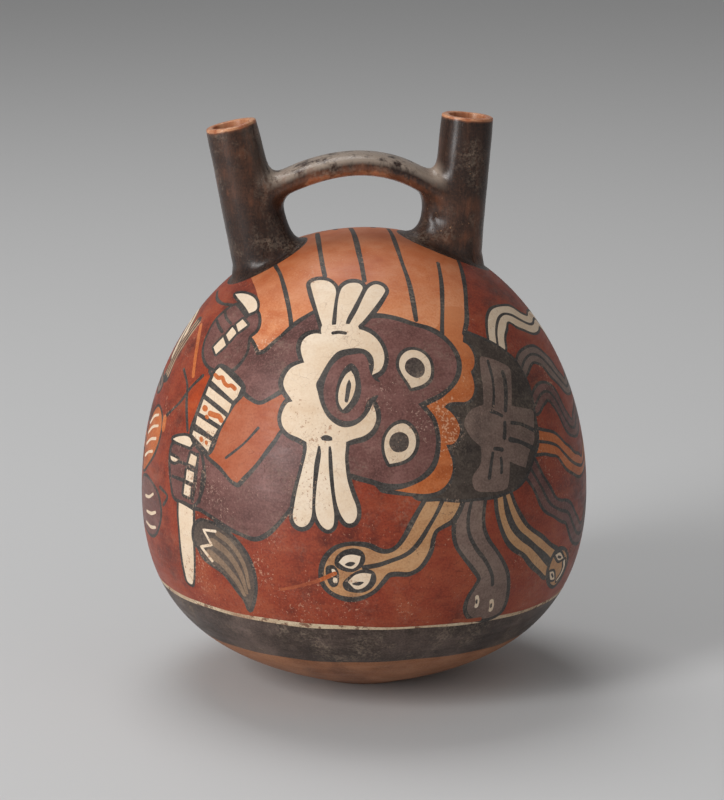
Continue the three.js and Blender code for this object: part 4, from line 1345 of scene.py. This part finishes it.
class BodyPiece:
    """One closed piece of the body: painted skin outside, lining inside and the faces between.
    The points of the skin come first, and those of the lining after them."""

    def __init__(self, node, skin):
        self.node = node
        mine = skin["nodes"] == node
        self.slips = skin["slips"][mine]
        used, triangles = np.unique(skin["triangles"][mine], return_inverse=True)
        triangles = triangles.reshape(-1, 3)
        outer = skin["places"][used]
        self.outer_count = len(outer)
        edges = open_edges(triangles)
        ring, ties = np.unique(edges, return_inverse=True)
        ties = [tuple(tie) for tie in ties.reshape(-1, 2).tolist()]
        lining, lining_faces, behind = line_inside(node, outer[ring], ties)
        inner_points, inner_normals = wall.surface(lining, WALL)
        self.places = np.vstack([outer, lining])
        self.points = np.vstack([hand_worked(outer), inner_points])
        self.normals = np.vstack([worked_normals(outer), -inner_normals])
        distance = np.hypot(*outer.T)
        self.nearest, self.furthest = distance.min(), distance.max()
        self.faces = triangles.tolist() + (self.outer_count + lining_faces[:, ::-1]).tolist()
        self.parts = ["skin"] * len(triangles) + ["lining"] * len(lining_faces)
        inner = {vertex: self.outer_count + behind[i] for i, vertex in enumerate(ring.tolist())}
        foot = np.flatnonzero(distance > wall.map_radius[-1] * AT_EDGE)
        for a, b in edges.tolist():
            if a not in foot or b not in foot:
                self.faces.append([b, a, inner[a], inner[b]])
                self.parts.append("seam")
        if len(foot):
            foot = foot[sorted_round(outer[foot])].tolist()
            self.faces += [foot[::-1], [inner[vertex] for vertex in foot]]
            self.parts += ["underside", "floor"]

    def corner_normals(self, face, part):
        """Outward directions at a face's corners: the clay's own, or one for the whole face."""
        if part in ("skin", "lining"):
            return self.normals[face]
        if part == "seam":
            first, second, third = self.points[face[:3]]
            way = np.cross(second - first, third - first)
            way = way / max(np.linalg.norm(way), 1e-9)
        else:
            way = np.array([0, 0, -1 if part == "underside" else 1])
        return np.tile(way, (len(face), 1))

    def laid_flat(self, face, part):
        """Places of one face in the square that is baked: the skin as a disc, the inside in the
        disc's hole or in a corner, and the seams along the lower edge."""
        places = self.places[face]
        if part == "seam":
            angle = np.arctan2(places[:, 1], places[:, 0]) / TURN + 0.5
            row = np.where(np.array(face) < self.outer_count, *SEAM_ROWS)
            return np.stack([SEAM_STRIP[0] + SEAM_STRIP[1] * angle, row], 1)
        if self.node == "base_bowl":
            places = places * self.nearest / np.hypot(*places.T)[:, None] ** 2
        else:
            places = places / self.furthest
        if part in ("skin", "underside"):
            return MAP_MIDDLE + SKIN_DISC * places
        if self.node == "belly_wall":
            return MAP_MIDDLE + BELLY_LINING_DISC * places * self.nearest / self.furthest
        return MAP_CORNER + CORNER_DISC * places

    def make(self, name, materials):
        """The piece's mesh, with its materials, its normals and its flat layout for baking."""
        mesh = bpy.data.meshes.new(name)
        mesh.from_pydata([tuple(point * MM) for point in self.points], [], self.faces)
        shown = sorted(set(self.slips))
        for slip in shown + ["inner_clay"]:
            mesh.materials.append(materials[slip])
        numbers = [shown.index(slip) for slip in self.slips]
        numbers += [shown.index("ochre") if part == "underside" else len(shown)
                    for part in self.parts[len(self.slips):]]
        mesh.polygons.foreach_set("material_index", numbers)
        mesh.shade_smooth()
        faces = list(zip(self.faces, self.parts))
        mesh.normals_split_custom_set(np.vstack([self.corner_normals(*face) for face in faces]))
        layout = mesh.uv_layers.new(name="OFBake")
        layout.uv.foreach_set("vector", np.vstack([self.laid_flat(*face) for face in faces]).ravel())
        finish_piece(link(bpy.data.objects.new(name, mesh)), self.node)


# Finishes: slips on fired clay, burnished with a pebble and worn by long handling

def painted_colour(red, green, blue):
    """A colour as seen in daylight, in the values that a shader takes."""
    return tuple(((value / 255 + 0.055) / 1.055) ** 2.4 for value in (red, green, blue)) + (1,)


# Slips: colours as laid, where thin, where thick and where rubbed off, then percents for make_slip
SLIPS = {
    "red_ground": ((142, 58, 37), (168, 86, 56), (88, 36, 28), (196, 142, 116), 100, 45, 62, 24, 42),
    "red_orange": ((168, 66, 30), (184, 88, 48), (120, 50, 32), (196, 130, 98), 90, 35, 40, 16, 42),
    "panel_orange": ((220, 144, 98), (232, 172, 132), (192, 106, 64), (244, 206, 176), 100, 45, 50, 16, 40),
    "orange": ((190, 102, 52), (208, 132, 84), (152, 72, 34), (222, 168, 132), 90, 45, 60, 16, 44),
    "faint_orange": ((164, 84, 52), (176, 100, 68), (128, 58, 38), (190, 126, 96), 90, 50, 30, 14, 46),
    "worn_orange": ((168, 84, 50), (186, 112, 80), (138, 62, 38), (206, 150, 120), 90, 40, 44, 24, 46),
    "purple": ((112, 74, 68), (146, 104, 97), (80, 50, 46), (184, 148, 132), 90, 55, 50, 36, 44),
    "pupil": ((76, 66, 61), (104, 92, 84), (48, 40, 37), (160, 132, 112), 90, 80, 70, 40, 48),
    "cream": ((230, 206, 178), (216, 184, 150), (238, 219, 196), (176, 128, 98), 80, 40, 60, 22, 48),
    "cream_line": ((206, 184, 152), (150, 104, 78), (224, 206, 178), (104, 58, 44), 100, 50, 95, 40, 55),
    "tan": ((192, 142, 98), (208, 166, 124), (156, 108, 72), (140, 104, 78), 80, 50, 60, 24, 46),
    "blush": ((178, 142, 112), (196, 164, 134), (136, 100, 78), (206, 168, 144), 80, 45, 24, 18, 48),
    "grey": ((124, 101, 91), (146, 124, 112), (88, 72, 65), (160, 130, 114), 90, 60, 44, 44, 44),
    "dark_body": ((72, 61, 54), (104, 92, 82), (50, 41, 37), (128, 106, 94), 90, 50, 44, 40, 42),
    "plume_dark": ((88, 76, 68), (112, 96, 86), (66, 57, 52), (150, 106, 86), 90, 60, 20, 36, 46),
    "plume_vein": ((132, 108, 88), (156, 130, 106), (102, 84, 70), (176, 140, 112), 90, 55, 24, 30, 46),
    "ink": ((68, 63, 60), (92, 87, 82), (44, 38, 35), (156, 130, 112), 100, 75, 62, 46, 48),
    "dark_band": ((64, 52, 46), (112, 94, 86), (44, 36, 33), (146, 104, 84), 100, 50, 26, 60, 42),
    "ochre": ((152, 98, 64), (176, 124, 90), (118, 72, 46), (196, 150, 118), 100, 45, 44, 30, 48),
    "dark_slip": ((54, 40, 34), (90, 61, 47), (34, 26, 24), (160, 120, 88), 100, 50, 40, 42, 28),
    "inner_clay": ((146, 92, 66), (166, 112, 84), (116, 72, 52), (176, 128, 100), 80, 50, 20, 30, 80),
}
DUST = painted_colour(176, 156, 136)
CRACKS = painted_colour(150, 112, 86)
BARE_CLAY = painted_colour(204, 148, 110)
BARE_CLAY_DARK = painted_colour(166, 100, 68)
RUBBED_THIN = painted_colour(112, 70, 50)
# Pale colour of the handle's upward sides: partly a deposit, partly painted sheen
PALE_BLOOM_AND_SHEEN = painted_colour(158, 142, 128)
CRACKLED = ("cream", "cream_line")
CRACK_CELL = 2.4
COARSELY_FLECKED = ("cream_line", "dark_band")
COARSE_FLECKS = 1
FINE_FLECKS = 0.5
# How strongly the effects show in a slip's colour, how much they dull it and how deep they lie
SHOWING = dict(streaks=0.5, flecks=0.75, scratches=0.5, cracks=0.4)
DULLING = dict(flecks=0.25, dust=0.5)
DENTING = dict(flecks=0.5, scratches=0.3)
# Slips that turn another colour higher up: from and to which height, how far and what colour.
# The panel's darker top is painted shade
TURNS_WITH_HEIGHT = {
    "panel_orange": (118 * MM, 136 * MM, 0.85, painted_colour(172, 86, 44)),
    "orange": (109 * MM, 123 * MM, 0.9, painted_colour(208, 134, 90)),
}
BLOOM_AND_SHEEN_HEIGHTS = (148 * MM, 158 * MM)  # between which the handle's pale deposit and painted sheen set in
# How a pebble's strokes are squeezed: long round the body, and long up the spouts
BURNISHED_ROUND = (0.2, 0.2, 1)
BURNISHED_UPRIGHT = (1, 1, 0.14)
RELIEF_STRENGTH = 0.6
RELIEF_DEPTH = 0.2 * MM
SHINE = 0.3
FLOAT, COLOUR, VECTOR = "NodeSocketFloat", "NodeSocketColor", "NodeSocketVector"


class Nodes:
    """The shader nodes of one material or of one shared effect."""

    def __init__(self, tree):
        self.tree = tree

    def add(self, kind, inputs, **settings):
        """Outputs of a new node, with its settings, and a value or a link for each input."""
        node = self.tree.nodes.new("ShaderNode" + kind)
        for key, value in settings.items():
            setattr(node, key, value)
        for key, value in inputs.items():
            self.feed(node.inputs[key], value)
        return node.outputs

    def feed(self, socket, value):
        if isinstance(value, bpy.types.NodeSocket):
            self.tree.links.new(value, socket)
        else:
            socket.default_value = value

    def calculate(self, operation, first, second=0):
        return self.add("Math", {0: first, 1: second}, operation=operation)[0]

    def plus(self, first, *others):
        for other in others:
            first = self.calculate("ADD", first, other)
        return first

    def minus(self, first, *others):
        for other in others:
            first = self.calculate("SUBTRACT", first, other)
        return first

    def times(self, first, second):
        return self.calculate("MULTIPLY", first, second)

    def spread(self, value, low, high, start=0, end=1):
        """A value between low and high, spread from start to end."""
        return self.add("MapRange", {"Value": value, "From Min": low, "From Max": high,
                                     "To Min": start, "To Max": end})["Result"]

    def mixed(self, share, first, second):
        """From the first colour towards the second, by a share from 0 to 1."""
        return self.add("Mix", {0: share, 6: first, 7: second}, data_type="RGBA")[2]

    def upward(self, of_what):
        """The upward part of the surface's Position or of its Normal."""
        return self.add("SeparateXYZ", {0: self.add("NewGeometry", {})[of_what]})["Z"]


class Effect(Nodes):
    """A finish that several slips share, with named inputs and outputs."""

    def __init__(self, name, inputs, outputs):
        super().__init__(bpy.data.node_groups.new(name, "ShaderNodeTree"))
        for way, sockets in (("INPUT", inputs), ("OUTPUT", outputs)):
            for socket, kind in sockets.items():
                self.tree.interface.new_socket(socket, in_out=way, socket_type=kind)
        self.given = self.tree.nodes.new("NodeGroupInput").outputs
        self.results = self.tree.nodes.new("NodeGroupOutput").inputs
        self.place = self.add("TexCoord", {})["Object"]

    def mapped(self, place, scale=(1, 1, 1), shift=(0, 0, 0)):
        return self.add("Mapping", {"Vector": place, "Scale": scale, "Location": shift})["Vector"]

    def vectors(self, operation, inputs):
        return self.add("VectorMath", inputs, operation=operation)["Vector"]

    def sized(self):
        """The place on the clay, scaled so that a pattern grows with the Size that is given."""
        smaller = self.calculate("DIVIDE", 1, self.given["Size"])
        return self.vectors("SCALE", {0: self.place, "Scale": smaller})

    def noise(self, size, detail, roughness=0.55, place=None, result="Fac"):
        """Cloudy noise whose patches are about so many millimetres across."""
        place = self.place if place is None else place
        return self.add("TexNoise", {"Vector": place, "Scale": 1 / (size * MM),
                                     "Detail": detail, "Roughness": roughness})[result]

    def giving(self, **results):
        for name, value in results.items():
            self.feed(self.results[name], value)
        return self.tree


def make_slip_tones():
    """Uneven thickness of a slip: clouds of thin and thick, and a fine grain."""
    effect = Effect("slip_tones", dict(Slip=COLOUR, Thin=COLOUR, Thick=COLOUR, Clouding=FLOAT, Grain=FLOAT),
                    dict(Colour=COLOUR, Thickness=FLOAT))
    wide, close, fine = (effect.noise(size, detail) for size, detail in ((26, 4), (6, 3), (0.6, 2)))
    clouds = effect.plus(effect.times(wide, 0.65), effect.times(close, 0.35))
    colour = effect.given["Slip"]
    for pattern, low, high, tone, strength in ((clouds, 0.52, 0.7, "Thin", "Clouding"),
                                               (clouds, 0.5, 0.36, "Thick", "Clouding"),
                                               (fine, 0.5, 0.75, "Thin", "Grain"),
                                               (fine, 0.5, 0.28, "Thick", "Grain")):
        share = effect.times(effect.spread(pattern, low, high), effect.given[strength])
        colour = effect.mixed(share, colour, effect.given[tone])
    return effect.giving(Colour=colour, Thickness=clouds)


def make_burnish():
    """Strokes of the polishing pebble, drawn out the way that the squeeze is smallest."""
    effect = Effect("pebble_burnish", dict(Strength=FLOAT, Squeeze=VECTOR),
                    dict(Height=FLOAT, Dullness=FLOAT, Streaks=FLOAT))
    drawn = effect.mapped(effect.place, effect.given["Squeeze"])
    strokes = effect.noise(1.6, detail=3, roughness=0.6, place=drawn)
    facets = effect.noise(7, detail=2, place=drawn)
    height = effect.plus(effect.times(strokes, 0.4), facets)
    return effect.giving(Height=effect.times(height, effect.given["Strength"]),
                         Dullness=effect.spread(strokes, 0.35, 0.65, -0.05, 0.07),
                         Streaks=effect.noise(4, detail=4, roughness=0.65, place=drawn))


def make_flecks():
    """Small chips and rubbed flecks, gathered in patches."""
    effect = Effect("rubbed_flecks", dict(Amount=FLOAT, Size=FLOAT), dict(Mask=FLOAT))
    chips = effect.noise(1.7, detail=4, roughness=0.65, place=effect.sized())
    patches = effect.noise(17, detail=3, place=effect.mapped(effect.place, shift=(0.31, 0.17, 0.05)))
    level = effect.plus(chips, effect.spread(patches, 0.35, 0.7, -0.12, 0.12))
    threshold = effect.minus(0.84, effect.times(effect.given["Amount"], 0.3))
    return effect.giving(Mask=effect.spread(effect.minus(level, threshold), 0, 0.035))


def make_scratches():
    """Thin wandering scratches, broken here and there."""
    effect = Effect("hair_scratches", dict(Size=FLOAT), dict(Mask=FLOAT))
    drawn = effect.mapped(effect.sized(), scale=(1, 0.4, 1.3))
    field = effect.noise(14, detail=2, roughness=0.4, place=drawn)
    line = effect.spread(effect.calculate("ABSOLUTE", effect.minus(field, 0.5)), 0.0035, 0)
    broken = effect.noise(9, detail=2, place=effect.mapped(effect.place, shift=(0.4, 0.2, 0.6)))
    return effect.giving(Mask=effect.times(line, effect.spread(broken, 0.52, 0.6)))


def make_crackle():
    """Fine cracks of a thick pale slip."""
    effect = Effect("slip_crackle", dict(Cell=FLOAT), dict(Mask=FLOAT))
    bend = effect.noise(3, detail=2, roughness=0.5, result="Color")
    bend = effect.vectors("SUBTRACT", {0: bend, 1: (0.5, 0.5, 0.5)})
    bend = effect.vectors("SCALE", {0: bend, "Scale": 2.4 * MM})
    cells = effect.add("TexVoronoi", {"Vector": effect.vectors("ADD", {0: effect.place, 1: bend}),
                                      "Scale": effect.calculate("DIVIDE", 1 / MM, effect.given["Cell"])},
                       feature="DISTANCE_TO_EDGE")
    line = effect.spread(cells["Distance"], 0.035, 0)
    broken = effect.spread(effect.noise(8, detail=2), 0.5, 0.62)
    return effect.giving(Mask=effect.times(line, broken))


def make_dust():
    """Burial dust, as a fine grain in clouds."""
    effect = Effect("old_dust", dict(Amount=FLOAT), dict(Mask=FLOAT))
    place = effect.mapped(effect.place, shift=(0.1, 0.7, 0.3))
    clouds = effect.noise(12, detail=5, roughness=0.7, place=place)
    grains = effect.noise(0.9, detail=2, roughness=0.7)
    cover = effect.times(effect.spread(clouds, 0.5, 0.75), effect.spread(grains, 0.42, 0.62))
    return effect.giving(Mask=effect.times(cover, effect.given["Amount"]))


def handle_wear_and_sheen(nodes, colour, thickness, streaks):
    """The dark slip rubbed thin and then bare where hands held the handle, and on the sides that
    look up a pale deposit with painted sheen, lighter where light from above falls on them."""
    rubbed = nodes.add("Attribute", {}, attribute_name="rubbed")["Fac"]
    worn = nodes.plus(rubbed, nodes.spread(thickness, 0.35, 0.65, -0.25, 0.25),
                      nodes.spread(streaks, 0.35, 0.65, -0.15, 0.15))
    # Painted sheen with a pale deposit: the handle's upward sides made lighter, as light from above falls
    # on them
    bloom_and_sheen = nodes.spread(nodes.upward("Normal"), 0.1, 0.65, 0, 0.85)
    bloom_and_sheen = nodes.times(bloom_and_sheen, nodes.spread(streaks, 0.36, 0.5))
    bloom_and_sheen = nodes.times(bloom_and_sheen, nodes.spread(nodes.upward("Position"), *BLOOM_AND_SHEEN_HEIGHTS))
    bare = nodes.mixed(nodes.spread(streaks, 0.42, 0.6), BARE_CLAY, BARE_CLAY_DARK)
    colour = nodes.mixed(bloom_and_sheen, colour, PALE_BLOOM_AND_SHEEN)
    colour = nodes.mixed(nodes.spread(worn, 0.15, 0.4, 0, 0.8), colour, RUBBED_THIN)
    return nodes.mixed(nodes.spread(worn, 0.5, 0.72), colour, bare)


def make_slip(name, effects):
    """Material of one slip, from its row above and the shared effects."""
    slip, thin, thick, under = (painted_colour(*colour) for colour in SLIPS[name][:4])
    clouding, grain, wear, dust, roughness = (percent / 100 for percent in SLIPS[name][4:])
    material = bpy.data.materials.new(name.replace("_", " "))
    material.use_nodes = True
    nodes = Nodes(material.node_tree)
    mixed, times, spread = nodes.mixed, nodes.times, nodes.spread

    def shared(effect, **inputs):
        return nodes.add("Group", inputs, node_tree=effects[effect])

    squeeze = BURNISHED_UPRIGHT if name == "dark_slip" else BURNISHED_ROUND
    tones = shared("tones", Slip=slip, Thin=thin, Thick=thick, Clouding=clouding, Grain=grain)
    burnish = shared("burnish", Strength=1, Squeeze=squeeze)
    fleck_size = COARSE_FLECKS if name in COARSELY_FLECKED else FINE_FLECKS
    flecks = shared("flecks", Amount=wear, Size=fleck_size)["Mask"]
    dusty = shared("dust", Amount=dust)["Mask"]
    scratches = shared("scratches", Size=1)["Mask"]
    streaks = spread(burnish["Streaks"], 0.5, 0.75, 0, SHOWING["streaks"])
    colour = mixed(streaks, tones["Colour"], thin)
    colour = mixed(times(flecks, SHOWING["flecks"]), colour, under)
    colour = mixed(times(scratches, SHOWING["scratches"]), colour, thick)
    if name in CRACKLED:
        cracks = shared("crackle", Cell=CRACK_CELL)["Mask"]
        colour = mixed(times(cracks, SHOWING["cracks"]), colour, CRACKS)
    # Painted shade: the panel's slip darkens towards the top of the dome; the orange slip turns lighter
    # higher up
    if name in TURNS_WITH_HEIGHT:
        low, high, share, other = TURNS_WITH_HEIGHT[name]
        turned = times(spread(nodes.upward("Position"), low, high, 0, share),
                       spread(tones["Thickness"], 0.4, 0.6, 1, 0.7))
        colour = mixed(turned, colour, other)
    if name == "dark_slip":
        colour = handle_wear_and_sheen(nodes, colour, tones["Thickness"], burnish["Streaks"])
    dull = nodes.plus(burnish["Dullness"], roughness, times(flecks, DULLING["flecks"]),
                      times(dusty, DULLING["dust"]))
    relief = nodes.minus(burnish["Height"], times(flecks, DENTING["flecks"]),
                         times(scratches, DENTING["scratches"]))
    bump = nodes.add("Bump", {"Height": relief, "Strength": RELIEF_STRENGTH, "Distance": RELIEF_DEPTH})
    shader = material.node_tree.nodes["Principled BSDF"].inputs
    nodes.feed(shader["Base Color"], mixed(dusty, colour, DUST))
    nodes.feed(shader["Roughness"], dull)
    nodes.feed(shader["Normal"], bump["Normal"])
    shader["Specular IOR Level"].default_value = SHINE
    return material


def make_slips():
    effects = dict(tones=make_slip_tones(), burnish=make_burnish(), flecks=make_flecks(),
                   dust=make_dust(), scratches=make_scratches(), crackle=make_crackle())
    return {name: make_slip(name, effects) for name in SLIPS}


# Studio, in metres and watts, and the view of the vessel

FLOOR_SIZE = 12
FLOOR_GREY = (0.62, 0.62, 0.62, 1)
FLOOR_ROUGHNESS = 0.8
AIR_GREY = (0.75, 0.75, 0.75, 1)
AIR_LIGHT = 0.31
SOFTBOXES = {
    "key": dict(place=(-1.1, -0.85, 0.62), width=0.4, height=1.1, watts=17),
    "fill": dict(place=(1.1, -1, 0.7), width=0.9, height=0.9, watts=0.7),
    "top": dict(place=(-0.2, 0.5, 1.4), width=0.8, height=0.8, watts=8),
}
SOFTBOX_AIM = Vector((0, 0, 0.09))
CAMERA_AIM = Vector((0, 0, 87.2)) * MM
CAMERA_DISTANCE = 1100 * MM
CAMERA_AZIMUTH = math.radians(-6)
CAMERA_ELEVATION = math.radians(13)
CAMERA_SENSOR = 36  # sensor and lens are in millimetres
CAMERA_LENS = 158.43
CAMERA_SHIFT = -0.0025


def add_stage():
    """A pale floor, and even light from all round."""
    half = FLOOR_SIZE / 2
    mesh = bpy.data.meshes.new("studio_floor")
    mesh.from_pydata([(-half, -half, 0), (half, -half, 0), (half, half, 0), (-half, half, 0)], [],
                     [(0, 1, 2, 3)])
    material = bpy.data.materials.new("studio floor")
    material.use_nodes = True
    shader = material.node_tree.nodes["Principled BSDF"].inputs
    shader["Base Color"].default_value = FLOOR_GREY
    shader["Roughness"].default_value = FLOOR_ROUGHNESS
    mesh.materials.append(material)
    floor = link(bpy.data.objects.new("studio_floor", mesh))
    world = bpy.data.worlds.new("studio")
    bpy.context.scene.world = world
    world.use_nodes = True
    background = world.node_tree.nodes["Background"].inputs
    background["Color"].default_value = AIR_GREY
    background["Strength"].default_value = AIR_LIGHT


def add_softbox(name, place, width, height, watts):
    light = bpy.data.lights.new(name, "AREA")
    light.shape = "RECTANGLE"
    light.size = width
    light.size_y = height
    light.energy = watts
    lamp = link(bpy.data.objects.new(name, light))
    lamp.location = Vector(place)
    lamp.rotation_euler = (SOFTBOX_AIM - lamp.location).to_track_quat("-Z", "Y").to_euler()


def add_camera():
    camera = bpy.data.cameras.new("photograph_view")
    camera.sensor_width = CAMERA_SENSOR
    camera.lens = CAMERA_LENS
    camera.shift_x = CAMERA_SHIFT
    level = math.cos(CAMERA_ELEVATION)
    back = Vector((math.sin(CAMERA_AZIMUTH) * level, -math.cos(CAMERA_AZIMUTH) * level,
                   math.sin(CAMERA_ELEVATION)))
    view = link(bpy.data.objects.new("photograph_view", camera))
    view.location = CAMERA_AIM + back * CAMERA_DISTANCE
    view.rotation_euler = (-back).to_track_quat("-Z", "Y").to_euler()
    bpy.context.scene.camera = view


add_camera()
add_stage()
for lamp_name, softbox in SOFTBOXES.items():
    add_softbox(lamp_name, **softbox)
bpy.context.scene.view_settings.view_transform = "Standard"

body_skin = paint_body()
slips = make_slips()
BodyPiece("base_bowl", body_skin).make("base_bowl_clay", slips)
BodyPiece("belly_wall", body_skin).make("belly_painted_wall", slips)
BodyPiece("shoulder_dome", body_skin).make("shoulder_painted_dome", slips)
make_handle(slips["dark_slip"])
